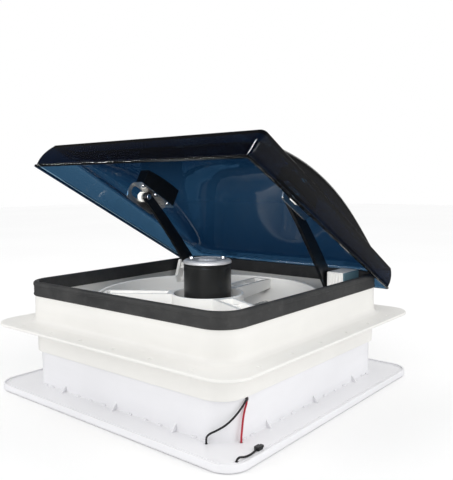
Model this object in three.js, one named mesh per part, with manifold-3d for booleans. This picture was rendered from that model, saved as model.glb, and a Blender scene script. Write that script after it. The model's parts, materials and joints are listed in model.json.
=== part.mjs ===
// Powered roof vent for a 14 inch roof opening: a hinged smoked lid with a lift drive,
// a fan hung from a three-arm mount, a roof flange with its collar, and a lit ceiling trim.
// Millimetres, +Z up. The origin is the centre of the trim's ceiling-side footprint, on its lowest face.
// The lid hinges at the back (+Y) and opens at the front (-Y). It is drawn open.

import * as THREE from 'three';
import { mergeVertices } from 'three/addons/utils/BufferGeometryUtils.js';
import Module from 'manifold-3d';

const wasm = await Module();
wasm.setup();

// ---------------------------------------------------------------- driving dimensions

const GAP = 0.3;                    // clearance between pieces that touch
const CORNER_STEPS = 4;             // segments in each rounded corner

// ceiling trim
const TRIM_HALF = 209;              // half the outside width of the trim
const TRIM_CORNER = 28;
const TRIM_SKIN = 2;                // moulding thickness of the bezel
const TRIM_RIM_TOP = 9.7;
const BACK_BOTTOM = 6;              // back frame plate, from here ...
const BACK_TOP = 8;                 // ... to the face that meets the ceiling
const WALL_HALF = 171.5;            // telescoping wall, outside
const WALL_SKIN = 2.2;
const WALL_TOP = 75;
const WALL_CORNER = 30;
const RECESS_HALF = 158;            // recess behind the trim face
const RECESS_CORNER = 20;
const PANEL_BOTTOM = 46.3;
const PANEL_SKIN = 2.4;
const LEDGE_BOTTOM = PANEL_BOTTOM + PANEL_SKIN + GAP;
const LEDGE_TOP = LEDGE_BOTTOM + 2;
const PANEL_SCREWS = [[-144, -144], [-144, 144], [84, -149], [84, 149]];
const PAD_HALF = 6.5;               // half of each square screw pad on the ledge
const SCREW_SHANK_RADIUS = 1.2;
const SCREW_HOLE_RADIUS = 2.2;
const AIR_RADIUS = 146;             // round air mouth in the inner panel

// lights in the trim
const LIGHT_LENGTH = 290;
const LIGHT_WIDTH = 26;
const LIGHT_CENTRE = 183.5;         // distance of each light's middle line from the axis

// roof base
const FLANGE_HALF = 210.4;
const FLANGE_CORNER = 33;
const FLANGE_BOTTOM = 90.4;
const FLANGE_TOP = 94.2;
const THROAT_BOTTOM = 54.5;
const THROAT_HALF = 175;            // below the flange, outside
const BORE_HALF = 172.5;            // inside of the throat and collar
const COLLAR_ROOT_HALF = 177.2;     // above the flange, outside
const COLLAR_TIP_HALF = 176.2;
const COLLAR_TOP = 147;
const COLLAR_CORNER = 31;           // outside corner radius of the throat

// rim seal
const SEAL_HALF = 178;
const SEAL_INNER_HALF = 170.4;
const SEAL_BOTTOM = 130.7;
const SEAL_TOP = 149.8;

// fan shroud and motor mount
const SHROUD_BOTTOM = 100;
const SHROUD_TOP = 103;
const DUCT_RADIUS = 150;
const DUCT_BOTTOM = 56.3;
const DUCT_TOP = 129;
const DUCT_NOTCH = { x0: 121, x1: 135, y0: 60, y1: 98, z0: 112 };   // where a lift arm lies, lid shut
const CUP_RADIUS = 50.5;
const CUP_BORE = 47;
const CUP_BOTTOM = 101;
const CUP_TOP = 126.5;
const CUP_FLOOR = 3.4;
const ARM_ANGLES = [95, 215, 335];  // mount arms, degrees from +X
const MOUNT_ARM_WIDTH = 30;

// motor and fan
const MOTOR_RADIUS = 33;
const MOTOR_BOTTOM = CUP_BOTTOM + CUP_FLOOR + GAP;
const MOTOR_TOP = 170;
const CAP_TOP = 173.6;
const SHAFT_RADIUS = 4;
const FAN_HUB_RADIUS = 60;
const FAN_HUB_TOP = 97;
const FAN_HUB_BOTTOM = 68;
const FAN_TIP_RADIUS = 141;
const BLADE_COUNT = 10;
const BLADE_SKIN = 2.4;

// lid, in its closed position
const LID_OPEN = THREE.MathUtils.degToRad(30);
const HINGE_Y = 188;
const HINGE_Z = 122.5;
const LID_HALF = 183.4;
const LID_BACK = 181.9;
const LID_FRONT_TOP = -183.6;
const LID_FRONT_LIP = -194.3;
const LID_TOP = 152.4;
const LID_SKIN = 2;
const LIP_BACK_Z = 121.3;
const LIP_FRONT_Z = 111.4;
const LID_CORNER = 4;               // at the lip
const LID_TOP_CORNER = 7;           // at the plate's edge
const LID_SWELL = 3;                // how far the skirt swells between its lip and the plate
const LID_BEAD = 2.4;               // outward bead along the lip, except at the hinges
const CROWN_HALF_X = 174;           // the crown covers most of the lid's top
const CROWN_HALF_Y = 163;
const CROWN_HEIGHT = 40;

// lid lift
const LIFT_X = 128;                 // middle plane of each lift arm
const LIFT_Y = 118;
const LIFT_Z = 127;
const ARM_LENGTH = 170.6;
const ARM_OPEN = THREE.MathUtils.degToRad(50.4);
const ARM_SKIN = 5;
const ARM_WIDTH = 22;                // at the pivot; the arm tapers to ARM_TIP_WIDTH
const ARM_TIP_WIDTH = 14.4;
const ARM_BOW = -3;                 // how far the middle of the arm stands off the straight line
const PIN_RADIUS = 2.5;
const SLOT_Z = 150.8;               // height of the lid bracket's slot, lid closed
const SLOT_FRONT = -51;             // travel of the arm's pin along that slot
const SLOT_BACK = -34.8;
const BRACKET_TOP = 161.5;
const BRACKET_BOTTOM = 136;
const BRACKET_X = 140;              // outer face of each bracket's side flange
const BRACKET_SKIN = 1.8;
const BRACKET_FRONT = -62;
const BRACKET_BACK = 18;
const BRACKET_SCREW_X = 122.2;      // clear of the arm when the lid is shut
const BRACKET_SCREW_YS = [-54, -25.5, 3.5];
const PIVOT_RADIUS = 5;

// gearbox: an open-sided box for the reduction gear, in the right rear corner
const BOX = { x0: 134, x1: 158, y0: 96, y1: 138, z0: SHROUD_TOP + GAP, z1: 156, skin: 2 };
const GEAR_TEETH = 20;
const GEAR_ROOT_RADIUS = 14;
const GEAR_TIP_RADIUS = 16.4;
const LIFT_MOTOR_RADIUS = 11;
const LIFT_MOTOR_LENGTH = 22;

// hinges
const HINGE_X = 120;
const KNUCKLE_RADIUS = 3.6;
const HINGE_PIN_RADIUS = 1.8;
const BASE_KNUCKLE_END = 16.3;      // half the width of a hinge base across its knuckles
const LEAF_KNUCKLE_END = 7.8;

// leads between the wall and the trim
const LEAD_RADIUS = 1.1;
const LEAD_HOLE_RADIUS = 2;
const LEAD_EXITS = { black: [148, -175.4], red: [174.4, -150], connector: [198, -188] };
const WALL_ENTRY_Y = -136;          // the hole in the wall that the red and black leads share
const WALL_ENTRY_Z = 50;

// ---------------------------------------------------------------- solids

function toManifold(geometry) {
  const bare = geometry.clone();
  bare.deleteAttribute('normal');
  bare.deleteAttribute('uv');
  const merged = mergeVertices(bare, 1e-4);
  return new wasm.Manifold(new wasm.Mesh({
    numProp: 3,
    vertProperties: Float32Array.from(merged.attributes.position.array),
    triVerts: Uint32Array.from(merged.index.array),
  }));
}

function toGeometry(solid) {
  const mesh = solid.getMesh();
  const geometry = new THREE.BufferGeometry();
  const positions = new Float32Array(mesh.numVert * 3);
  for (let i = 0; i < mesh.numVert; i += 1) {
    for (let k = 0; k < 3; k += 1) {
      positions[3 * i + k] = mesh.vertProperties[mesh.numProp * i + k];
    }
  }
  geometry.setAttribute('position', new THREE.BufferAttribute(positions, 3));
  geometry.setIndex(new THREE.BufferAttribute(Uint32Array.from(mesh.triVerts), 1));
  geometry.computeVertexNormals();
  return geometry;
}

function join(...geometries) {
  return toGeometry(geometries.map(toManifold).reduce((sum, piece) => sum.add(piece)));
}

function cut(geometry, ...tools) {
  const whole = toManifold(geometry);
  return toGeometry(tools.map(toManifold).reduce((rest, tool) => rest.subtract(tool), whole));
}

// ---------------------------------------------------------------- basic shapes

// A box given by its lowest and highest corners.
function block(x0, y0, z0, x1, y1, z1) {
  const box = new THREE.BoxGeometry(x1 - x0, y1 - y0, z1 - z0);
  return box.translate((x0 + x1) / 2, (y0 + y1) / 2, (z0 + z1) / 2);
}

// A round bar along Z, from z0 to z1.
function rod(radius, z0, z1, sides = 24) {
  const bar = new THREE.CylinderGeometry(radius, radius, z1 - z0, sides);
  return bar.rotateX(Math.PI / 2).translate(0, 0, (z0 + z1) / 2);
}

// A round bar along X, from x0 to x1, at height z and depth y.
function crossRod(radius, x0, x1, y, z, sides = 16) {
  const bar = new THREE.CylinderGeometry(radius, radius, x1 - x0, sides);
  return bar.rotateZ(Math.PI / 2).translate((x0 + x1) / 2, y, z);
}

// A turned solid about Z from a profile of [radius, height] points that starts and ends on the axis.
function turned(profile, sides = 32) {
  const points = profile.map(([radius, height]) => new THREE.Vector2(radius, height));
  return new THREE.LatheGeometry(points, sides).rotateX(Math.PI / 2);
}

// A turned ring: its profile closes on itself.
function turnedRing(profile, sides = 48) {
  return turned([...profile, profile[0]], sides);
}

// Points of a rounded rectangle, counter-clockwise, with each side divided into sideSteps.
function roundedLoop(x0, x1, y0, y1, radius, cornerSteps = CORNER_STEPS, sideSteps = 1) {
  const corners = [[x1 - radius, y1 - radius], [x0 + radius, y1 - radius],
    [x0 + radius, y0 + radius], [x1 - radius, y0 + radius]];
  const loop = [];
  corners.forEach(([cx, cy], quarter) => {
    for (let i = 0; i <= cornerSteps; i += 1) {
      const angle = (quarter + i / cornerSteps) * Math.PI / 2;
      loop.push(new THREE.Vector2(cx + radius * Math.cos(angle), cy + radius * Math.sin(angle)));
    }
    const next = corners[(quarter + 1) % 4];
    const angle = (quarter + 1) * Math.PI / 2;
    const reach = new THREE.Vector2(radius * Math.cos(angle), radius * Math.sin(angle));
    const end = new THREE.Vector2(...next).add(reach);
    const start = loop[loop.length - 1].clone();
    for (let i = 1; i < sideSteps; i += 1) {
      loop.push(start.clone().lerp(end, i / sideSteps));
    }
  });
  return loop;
}

function squareLoop(half, radius) {
  return roundedLoop(-half, half, -half, half, radius);
}

// A solid skin through loops of equal count; the last loop joins back onto the first.
function skinThrough(loops) {
  const count = loops[0].length;
  const positions = loops.flat().flatMap((p) => [p.x, p.y, p.z]);
  const index = [];
  loops.forEach((loop, row) => {
    const here = row * count;
    const above = ((row + 1) % loops.length) * count;
    for (let i = 0; i < count; i += 1) {
      const j = (i + 1) % count;
      index.push(here + i, here + j, above + j);
      index.push(here + i, above + j, above + i);
    }
  });
  const geometry = new THREE.BufferGeometry();
  geometry.setAttribute('position', new THREE.Float32BufferAttribute(positions, 3));
  geometry.setIndex(index);
  geometry.computeVertexNormals();
  return geometry;
}

// A frame swept round a square with rounded corners. Its profile lists [half width, height] points,
// counter-clockwise seen with the outside on the right. The corner radius belongs to nominalHalf.
function squareFrame(nominalHalf, radius, profile) {
  const loops = profile.map(([half, z]) => squareLoop(half, radius + half - nominalHalf)
    .map((p) => new THREE.Vector3(p.x, p.y, z)));
  return skinThrough(loops);
}

function outline(points) {
  return new THREE.Shape(points);
}

// A flat plate from a shape, between two heights.
function plate(shape, z0, z1, curveSegments = 12) {
  const body = new THREE.ExtrudeGeometry(shape, { depth: z1 - z0, bevelEnabled: false, curveSegments });
  return body.translate(0, 0, z0);
}

// A square plate with rounded corners and a square hole with rounded corners.
function squareRing(half, radius, holeHalf, holeRadius, z0, z1) {
  const shape = outline(squareLoop(half, radius));
  shape.holes.push(new THREE.Path(squareLoop(holeHalf, holeRadius).reverse()));
  return plate(shape, z0, z1);
}

function circlePoints(radius, sides) {
  return Array.from({ length: sides }, (_, i) => {
    const angle = 2 * Math.PI * i / sides;
    return new THREE.Vector2(radius * Math.cos(angle), radius * Math.sin(angle));
  });
}

// A side profile in the YZ plane, given thickness along X from x0 to x1.
function sidePlate(points, x0, x1) {
  const shape = outline(points.map(([y, z]) => new THREE.Vector2(y, z)));
  const body = new THREE.ExtrudeGeometry(shape, { depth: x1 - x0, bevelEnabled: false });
  // shape x -> Y, shape y -> Z, depth -> X
  body.applyMatrix4(new THREE.Matrix4().set(0, 0, 1, x0, 1, 0, 0, 0, 0, 1, 0, 0, 0, 0, 0, 1));
  return body;
}

// A bar with round ends between two points of the YZ plane, through a bowed middle line.
function barOutline(start, end, halfWidthStart, halfWidthEnd, bow, steps = 8) {
  const along = new THREE.Vector2().subVectors(end, start);
  const across = new THREE.Vector2(-along.y, along.x).normalize();
  const left = [];
  const right = [];
  for (let i = 0; i <= steps; i += 1) {
    const t = i / steps;
    const middle = start.clone().lerp(end, t).addScaledVector(across, bow * 4 * t * (1 - t));
    const half = THREE.MathUtils.lerp(halfWidthStart, halfWidthEnd, t);
    left.push(middle.clone().addScaledVector(across, half));
    right.push(middle.clone().addScaledVector(across, -half));
  }
  const heading = along.angle();
  const cap = (centre, radius, from) => {
    const arc = [];
    for (let i = 1; i < 6; i += 1) {
      const angle = from - Math.PI * i / 6;
      const reach = new THREE.Vector2(radius * Math.cos(angle), radius * Math.sin(angle));
      arc.push(reach.add(centre));
    }
    return arc;
  };
  const endCap = cap(end, halfWidthEnd, heading + Math.PI / 2);
  const startCap = cap(start, halfWidthStart, heading - Math.PI / 2);
  return [...left, ...endCap, ...right.reverse(), ...startCap].reverse().map((p) => [p.x, p.y]);
}

// A round tube along a curve through hand-placed points.
function tube(points, radius, sides = 8, stepsPerPoint = 2) {
  const stops = points.map((p) => new THREE.Vector3(...p));
  const path = new THREE.CatmullRomCurve3(stops, false, 'centripetal');
  const section = outline(circlePoints(radius, sides));
  const steps = (points.length - 1) * stepsPerPoint;
  return new THREE.ExtrudeGeometry(section, { steps, extrudePath: path, bevelEnabled: false });
}

// ---------------------------------------------------------------- materials and nodes

function finish(color, roughness, metalness = 0) {
  return () => new THREE.MeshStandardMaterial({ color, roughness, metalness });
}

const warmWhite = finish(0xf3f2ee, 0.45);
const coolWhite = finish(0xeff0f5, 0.4);
const blackRubber = finish(0x26292b, 0.8);
const blackPaint = finish(0x161717, 0.35);
const greyPlastic = finish(0x556d75, 0.5);
const steel = finish(0xb9bbbd, 0.3, 1);
const smokedPlastic = finish(0x1c3450, 0.1);
const smokedFan = finish(0x4b5560, 0.3);
const lightPlastic = finish(0xfdfdfb, 0.5);
const boardWhite = finish(0xe8e8e2, 0.6);
const redWire = finish(0xc0283c, 0.5);
const blackWire = finish(0x1a1a1c, 0.5);

const vent = new THREE.Group();
const lidGroup = new THREE.Group();
lidGroup.position.set(0, HINGE_Y, HINGE_Z);
lidGroup.rotation.x = -LID_OPEN;
vent.add(lidGroup);

function add(parent, name, geometry, material) {
  const mesh = new THREE.Mesh(geometry, material());
  mesh.name = name;
  parent.add(mesh);
  return mesh;
}

// Pieces on the lid are drawn in the closed lid's place, then carried by the open lid.
function addToLid(name, geometry, material) {
  return add(lidGroup, name, geometry.translate(0, -HINGE_Y, -HINGE_Z), material);
}

// ---------------------------------------------------------------- roof base and seal

function roofBase() {
  const flange = squareRing(
    FLANGE_HALF, FLANGE_CORNER, BORE_HALF + 1, COLLAR_CORNER - 1.5, FLANGE_BOTTOM, FLANGE_TOP,
  );
  const ledgeHalf = BORE_HALF - 4;
  const walls = squareFrame(THROAT_HALF, COLLAR_CORNER, [
    [BORE_HALF, THROAT_BOTTOM],
    [THROAT_HALF, THROAT_BOTTOM],
    [THROAT_HALF, FLANGE_BOTTOM + 1],
    [COLLAR_ROOT_HALF + 4, FLANGE_TOP - 0.4],
    [COLLAR_ROOT_HALF, FLANGE_TOP + 4.5],
    [COLLAR_TIP_HALF, COLLAR_TOP],
    [COLLAR_TIP_HALF - 3, COLLAR_TOP],
    [BORE_HALF, SHROUD_TOP + 2],
    [BORE_HALF, SHROUD_BOTTOM - GAP],
    [ledgeHalf, SHROUD_BOTTOM - GAP],
    [ledgeHalf, SHROUD_BOTTOM - 2.5],
    [BORE_HALF, SHROUD_BOTTOM - 6],
  ]);
  return join(flange, walls);
}

// A bulb-edged channel pushed over the collar's top edge.
function rimSeal() {
  const inner = COLLAR_TIP_HALF - 3 - GAP - 0.1;
  const outer = COLLAR_TIP_HALF + GAP + 0.2;
  return squareFrame(SEAL_HALF, 33, [
    [outer + 0.25, SEAL_BOTTOM],
    [SEAL_HALF, SEAL_BOTTOM + 0.6],
    [SEAL_HALF, SEAL_TOP - 2.2],
    [SEAL_HALF - 1.6, SEAL_TOP],
    [SEAL_INNER_HALF + 1.6, SEAL_TOP],
    [SEAL_INNER_HALF, SEAL_TOP - 2.2],
    [SEAL_INNER_HALF, SEAL_BOTTOM],
    [inner - 0.7, SEAL_BOTTOM],
    [inner, COLLAR_TOP + GAP],
    [outer, COLLAR_TOP + GAP],
  ]);
}

// ---------------------------------------------------------------- ceiling trim

// One quarter-turn placement per side: fn gets the rotation about Z.
function eachSide(fn) {
  return [0, 1, 2, 3].map((side) => fn(side * Math.PI / 2, side));
}

function lightOutline(grow) {
  const halfLength = LIGHT_LENGTH / 2 + grow;
  const halfWidth = LIGHT_WIDTH / 2 + grow;
  const [near, far] = [-LIGHT_CENTRE - halfWidth, -LIGHT_CENTRE + halfWidth];
  return outline(roundedLoop(-halfLength, halfLength, near, far, 10, 3));
}

function trimBezel() {
  const face = squareRing(TRIM_HALF - 2, TRIM_CORNER - 2, RECESS_HALF, RECESS_CORNER, 0, TRIM_SKIN);
  const rim = squareFrame(TRIM_HALF, TRIM_CORNER, [
    [TRIM_HALF - 4, 0],
    [TRIM_HALF - 1.2, 0.8],
    [TRIM_HALF, 3.2],
    [TRIM_HALF, TRIM_RIM_TOP],
    [TRIM_HALF - 2.4, TRIM_RIM_TOP],
    [TRIM_HALF - 2.4, 3.4],
    [TRIM_HALF - 4, TRIM_SKIN],
  ]);
  const recess = squareFrame(RECESS_HALF, RECESS_CORNER, [
    [RECESS_HALF - 0.4, 0],
    [RECESS_HALF + TRIM_SKIN, 0],
    [RECESS_HALF + 0.4, LEDGE_TOP],
    [RECESS_HALF - 6, LEDGE_TOP],
    [RECESS_HALF - 6, LEDGE_BOTTOM],
    [RECESS_HALF - 1.6, LEDGE_BOTTOM],
  ]);
  const pads = PANEL_SCREWS.map(([x, y]) => block(
    x - PAD_HALF, y - PAD_HALF, LEDGE_BOTTOM, x + PAD_HALF, y + PAD_HALF, LEDGE_TOP,
  ));
  const holes = PANEL_SCREWS.map(([x, y]) => {
    const hole = rod(SCREW_HOLE_RADIUS, LEDGE_BOTTOM - 1, LEDGE_TOP + 1, 12);
    return hole.translate(x, y, 0);
  });
  const windows = eachSide((turn) => plate(lightOutline(0), -1, TRIM_SKIN + 1).rotateZ(turn));
  return cut(join(face, rim, recess, ...pads), ...windows, ...holes);
}

// The ceiling-side frame: a plate against the ceiling and the wall that telescopes into the throat.
function trimFrame() {
  const outerHalf = TRIM_HALF - 2.4 - GAP;
  const inner = WALL_HALF - WALL_SKIN;
  const back = squareRing(
    outerHalf, TRIM_CORNER - 2.7, inner + 1, WALL_CORNER - 1.2, BACK_BOTTOM, BACK_TOP,
  );
  const wall = squareFrame(WALL_HALF, WALL_CORNER, [
    [inner, BACK_BOTTOM],
    [WALL_HALF, BACK_BOTTOM],
    [WALL_HALF, WALL_TOP],
    [inner, WALL_TOP],
  ]);
  const gussets = eachSide((turn) => [-100, 0, 100].map((x) => {
    const rib = sidePlate([[-WALL_HALF + 1, BACK_TOP - 1], [-WALL_HALF - 7, BACK_TOP - 1],
      [-WALL_HALF - 7, BACK_TOP + 1], [-WALL_HALF + 1, BACK_TOP + 9]].reverse(), x - 1.2, x + 1.2);
    return rib.rotateZ(turn);
  })).flat();
  const leadHoles = [
    ...Object.values(LEAD_EXITS).map(([x, y]) => (
      rod(LEAD_HOLE_RADIUS, BACK_BOTTOM - 1, BACK_TOP + 1, 10).translate(x, y, 0)
    )),
    crossRod(3.2, inner - 1, WALL_HALF + 1, WALL_ENTRY_Y, WALL_ENTRY_Z, 10),
  ];
  return cut(join(back, wall, ...gussets), ...leadHoles);
}

function innerPanel() {
  const shape = outline(squareLoop(RECESS_HALF - 2.1, RECESS_CORNER - 2));
  shape.holes.push(new THREE.Path(circlePoints(AIR_RADIUS, 48).reverse()));
  PANEL_SCREWS.forEach(([x, y]) => {
    const hole = circlePoints(SCREW_HOLE_RADIUS, 12).map((p) => new THREE.Vector2(p.x + x, p.y + y));
    shape.holes.push(new THREE.Path(hole.reverse()));
  });
  const top = PANEL_BOTTOM + PANEL_SKIN;
  const sheet = plate(shape, PANEL_BOTTOM, top);
  const mouth = turnedRing([[AIR_RADIUS, PANEL_BOTTOM], [AIR_RADIUS + 2.5, PANEL_BOTTOM],
    [AIR_RADIUS + 2.5, DUCT_BOTTOM - GAP], [AIR_RADIUS, DUCT_BOTTOM - GAP]], 48);
  return join(sheet, mouth);
}

function panelScrew() {
  const under = PANEL_BOTTOM - GAP;
  return turned([[0, under - 2], [2.2, under - 1.8], [3.4, under - 0.9], [3.4, under], [1.6, under],
    [1.6, LEDGE_TOP + 1], [0, LEDGE_TOP + 2.4]], 12);
}

// A blank triangular touch pad with cut corners, on the panel's lower face.
function touchPad() {
  const corners = [[146, 146], [92, 146], [89, 140], [140, 89], [146, 92]];
  const pad = outline(corners.map(([x, y]) => new THREE.Vector2(x, y)));
  return plate(pad, PANEL_BOTTOM - GAP - 1.2, PANEL_BOTTOM - GAP);
}

// ---------------------------------------------------------------- fan, shroud and motor

function fanShroud() {
  const shape = outline(squareLoop(BORE_HALF - GAP - 0.1, COLLAR_CORNER - 3));
  shape.holes.push(new THREE.Path(circlePoints(DUCT_RADIUS + 1, 48).reverse()));
  const sheet = plate(shape, SHROUD_BOTTOM, SHROUD_TOP);
  const duct = turnedRing([
    [DUCT_RADIUS, DUCT_BOTTOM],
    [DUCT_RADIUS + 2.5, DUCT_BOTTOM],
    [DUCT_RADIUS + 2.5, SHROUD_TOP - 1],
    [DUCT_RADIUS + 2.5, SHROUD_TOP],
    [DUCT_RADIUS, SHROUD_TOP],
  ], 48);
  return join(sheet, duct);
}

// The ring that carries the duct on above the plate, with a lip outside its top edge.
function ductRing() {
  const ring = turnedRing([
    [DUCT_RADIUS, SHROUD_TOP + GAP],
    [DUCT_RADIUS + 2.5, SHROUD_TOP + GAP],
    [DUCT_RADIUS + 2.5, DUCT_TOP - 3.5],
    [DUCT_RADIUS + 4.5, DUCT_TOP - 2.5],
    [DUCT_RADIUS + 4.5, DUCT_TOP],
    [DUCT_RADIUS, DUCT_TOP],
  ], 48);
  const n = DUCT_NOTCH;
  const notches = [
    block(n.x0, n.y0, n.z0, n.x1, n.y1, DUCT_TOP + 1),
    block(-n.x1, n.y0, n.z0, -n.x0, n.y1, DUCT_TOP + 1),
  ];
  return cut(ring, ...notches);
}

// A cup for the motor on three arms that run out to the duct's wall.
function motorMount() {
  const cup = turnedRing([
    [SHAFT_RADIUS + 3, CUP_BOTTOM],
    [CUP_RADIUS, CUP_BOTTOM],
    [CUP_RADIUS, CUP_TOP],
    [CUP_BORE, CUP_TOP],
    [CUP_BORE, CUP_BOTTOM + CUP_FLOOR],
    [SHAFT_RADIUS + 3, CUP_BOTTOM + CUP_FLOOR],
  ], 40);
  const tip = Math.sqrt((DUCT_RADIUS - 3 * GAP) ** 2 - (MOUNT_ARM_WIDTH / 2) ** 2);
  const arms = ARM_ANGLES.map((degrees) => {
    const turn = THREE.MathUtils.degToRad(degrees);
    const profile = [[CUP_BORE + 1.5, 107], [tip, 111.5], [tip, CUP_TOP], [CUP_BORE + 1.5, CUP_TOP]];
    const bar = sidePlate(profile, -MOUNT_ARM_WIDTH / 2, MOUNT_ARM_WIDTH / 2);
    return bar.rotateZ(turn - Math.PI / 2);
  });
  // the middle of each arm is channelled from above
  const channels = ARM_ANGLES.map((degrees) => {
    const turn = THREE.MathUtils.degToRad(degrees);
    const profile = [[CUP_RADIUS + 6, 117], [143, 119], [143, 130], [CUP_RADIUS + 6, 130]];
    return sidePlate(profile, -10, 10).rotateZ(turn - Math.PI / 2);
  });
  const reachIn = rod(CUP_BORE, CUP_BOTTOM + CUP_FLOOR, CUP_TOP + 5, 40);
  return cut(join(cup, ...arms), reachIn, ...channels);
}

function motorCan() {
  return turned([
    [0, MOTOR_BOTTOM],
    [MOTOR_RADIUS - 1.5, MOTOR_BOTTOM],
    [MOTOR_RADIUS, MOTOR_BOTTOM + 1.5],
    [MOTOR_RADIUS, MOTOR_TOP],
    [0, MOTOR_TOP],
  ], 32);
}

function motorEndCap() {
  const base = MOTOR_TOP + GAP;
  return turned([[0, base], [MOTOR_RADIUS + 0.6, base], [MOTOR_RADIUS + 0.6, base + 1.8],
    [MOTOR_RADIUS - 3, CAP_TOP], [12, CAP_TOP], [9, CAP_TOP + 1.4], [0, CAP_TOP + 1.4]], 32);
}

function motorBolt() {
  const base = CAP_TOP + GAP;
  return turned([[0, base], [4.6, base], [4.6, base + 1], [3.4, base + 1.4], [2.8, base + 3.2],
    [1.2, base + 4.4], [0, base + 4.6]], 12);
}

// One blade as a twisted, tapering slab between the hub and the tip circle.
function blade(turn) {
  const stations = 4;
  const loops = [];
  for (let i = 0; i <= stations; i += 1) {
    const t = i / stations;
    const radius = THREE.MathUtils.lerp(FAN_HUB_RADIUS - 2, FAN_TIP_RADIUS - 0.6, t);
    const pitch = THREE.MathUtils.degToRad(THREE.MathUtils.lerp(42, 24, t));
    const halfChord = THREE.MathUtils.lerp(16, 25, t);
    const middle = THREE.MathUtils.lerp(82, 84, t);
    const section = [[-1, -0.5], [1, -0.5], [1, 0.5], [-1, 0.5]].map(([along, over]) => {
      const swing = along * halfChord * Math.cos(pitch) - over * BLADE_SKIN * Math.sin(pitch);
      const rise = along * halfChord * Math.sin(pitch) + over * BLADE_SKIN * Math.cos(pitch);
      const sweep = 0.16 * t;
      const angle = turn + sweep + swing / radius;
      return new THREE.Vector3(radius * Math.cos(angle), radius * Math.sin(angle), middle + rise);
    });
    loops.push(section);
  }
  return closedLoft(loops);
}

// A loft through quadrilateral sections with both ends closed.
function closedLoft(loops) {
  const count = loops[0].length;
  const positions = loops.flat().flatMap((p) => [p.x, p.y, p.z]);
  const index = [];
  for (let row = 0; row + 1 < loops.length; row += 1) {
    for (let i = 0; i < count; i += 1) {
      const j = (i + 1) % count;
      const a = row * count;
      const b = a + count;
      index.push(a + i, a + j, b + j, a + i, b + j, b + i);
    }
  }
  const last = (loops.length - 1) * count;
  for (let i = 1; i + 1 < count; i += 1) {
    index.push(0, i + 1, i);
    index.push(last, last + i, last + i + 1);
  }
  const geometry = new THREE.BufferGeometry();
  geometry.setAttribute('position', new THREE.Float32BufferAttribute(positions, 3));
  geometry.setIndex(index);
  const solid = toManifold(geometry);
  if (solid.volume() < 0) {
    const flipped = (i) => [index[i], index[i + 2], index[i + 1]];
    geometry.setIndex(index.flatMap((_, i) => (i % 3 === 0 ? flipped(i) : [])));
  }
  return geometry;
}

function fanImpeller() {
  const bore = SHAFT_RADIUS + GAP;
  const skin = 2.5;
  const hub = turnedRing([
    [bore, FAN_HUB_BOTTOM],
    [FAN_HUB_RADIUS - 6, FAN_HUB_BOTTOM],
    [FAN_HUB_RADIUS, FAN_HUB_BOTTOM + 6],
    [FAN_HUB_RADIUS, FAN_HUB_TOP],
    [FAN_HUB_RADIUS - skin, FAN_HUB_TOP],
    [FAN_HUB_RADIUS - skin, FAN_HUB_BOTTOM + 7],
    [FAN_HUB_RADIUS - 7, FAN_HUB_BOTTOM + skin],
    [bore + 5, FAN_HUB_BOTTOM + skin],
    [bore + 5, FAN_HUB_BOTTOM + 16],
    [bore, FAN_HUB_BOTTOM + 16],
  ], 32);
  const blades = Array.from({ length: BLADE_COUNT }, (_, i) => blade(2 * Math.PI * i / BLADE_COUNT));
  return join(hub, ...blades);
}

function fanShaft() {
  return rod(SHAFT_RADIUS, FAN_HUB_BOTTOM - 9, MOTOR_BOTTOM - GAP, 20);
}

function fanNut() {
  const nut = rod(7, FAN_HUB_BOTTOM - 6.5, FAN_HUB_BOTTOM - GAP, 6);
  return cut(nut, rod(SHAFT_RADIUS + GAP, FAN_HUB_BOTTOM - 10, FAN_HUB_BOTTOM + 1, 20));
}

// ---------------------------------------------------------------- lid

function crownHeight(x, y, halfX, halfY, height) {
  const lengthwise = Math.max(0, 1 - (y / halfY) ** 2);
  const sideways = Math.sqrt(Math.max(0, 1 - Math.abs(x / halfX) ** 20));
  return height * lengthwise * sideways;
}

// A loop round the lid between its front and back; z may depend on the place.
function lidLoop(front, back, half, radius, heightAt) {
  return roundedLoop(-half, half, front, back, radius, 3, 8)
    .map((p) => new THREE.Vector3(p.x, p.y, heightAt(p.x, p.y)));
}

function lipHeight(y) {
  const t = (LID_BACK - y) / (LID_BACK - LID_FRONT_LIP);
  return THREE.MathUtils.lerp(LIP_BACK_Z, LIP_FRONT_Z, t);
}

// The crown's loops, from its foot to its middle, on the outside or the inside of the skin.
function crownLoops(skin) {
  const halfX = CROWN_HALF_X - skin;
  const halfY = CROWN_HALF_Y - skin;
  return [1, 0.985, 0.955, 0.88, 0.72, 0.45, 0.15].map((scale) => lidLoop(
    -halfY * scale,
    halfY * scale,
    halfX * scale,
    26 * scale,
    (x, y) => LID_TOP - skin + crownHeight(x, y, halfX, halfY, CROWN_HEIGHT),
  ));
}

// A loop at the lip: the front and sides stand out by bead, z stands over the lip by rise.
function lipLoop(bead, radius, rise) {
  return lidLoop(LID_FRONT_LIP - bead, LID_BACK, LID_HALF + bead, radius, (x, y) => lipHeight(y) + rise);
}

// A loop at the plate's edge, pulled in by inset at height z.
function plateLoop(inset, z) {
  return lidLoop(
    LID_FRONT_TOP + inset, LID_BACK - inset, LID_HALF - inset, LID_TOP_CORNER - inset, () => z,
  );
}

const SKIRT_SHARES = [0.2, 0.4, 0.6, 0.8];

// A loop part of the way up the skirt: share runs from 0 at the lip to 1 at the plate's edge.
function skirtLoop(inset, share) {
  const swell = LID_SWELL * 4 * share * (1 - share) - inset;
  const front = LID_FRONT_LIP + (LID_FRONT_TOP - LID_FRONT_LIP) * share;
  const radius = LID_CORNER + (LID_TOP_CORNER - LID_CORNER) * share - inset;
  return lidLoop(front - swell, LID_BACK - inset, LID_HALF + swell, radius, (x, y) => {
    const lip = lipHeight(y);
    return lip + (LID_TOP - 2 - lip) * share;
  });
}

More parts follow.
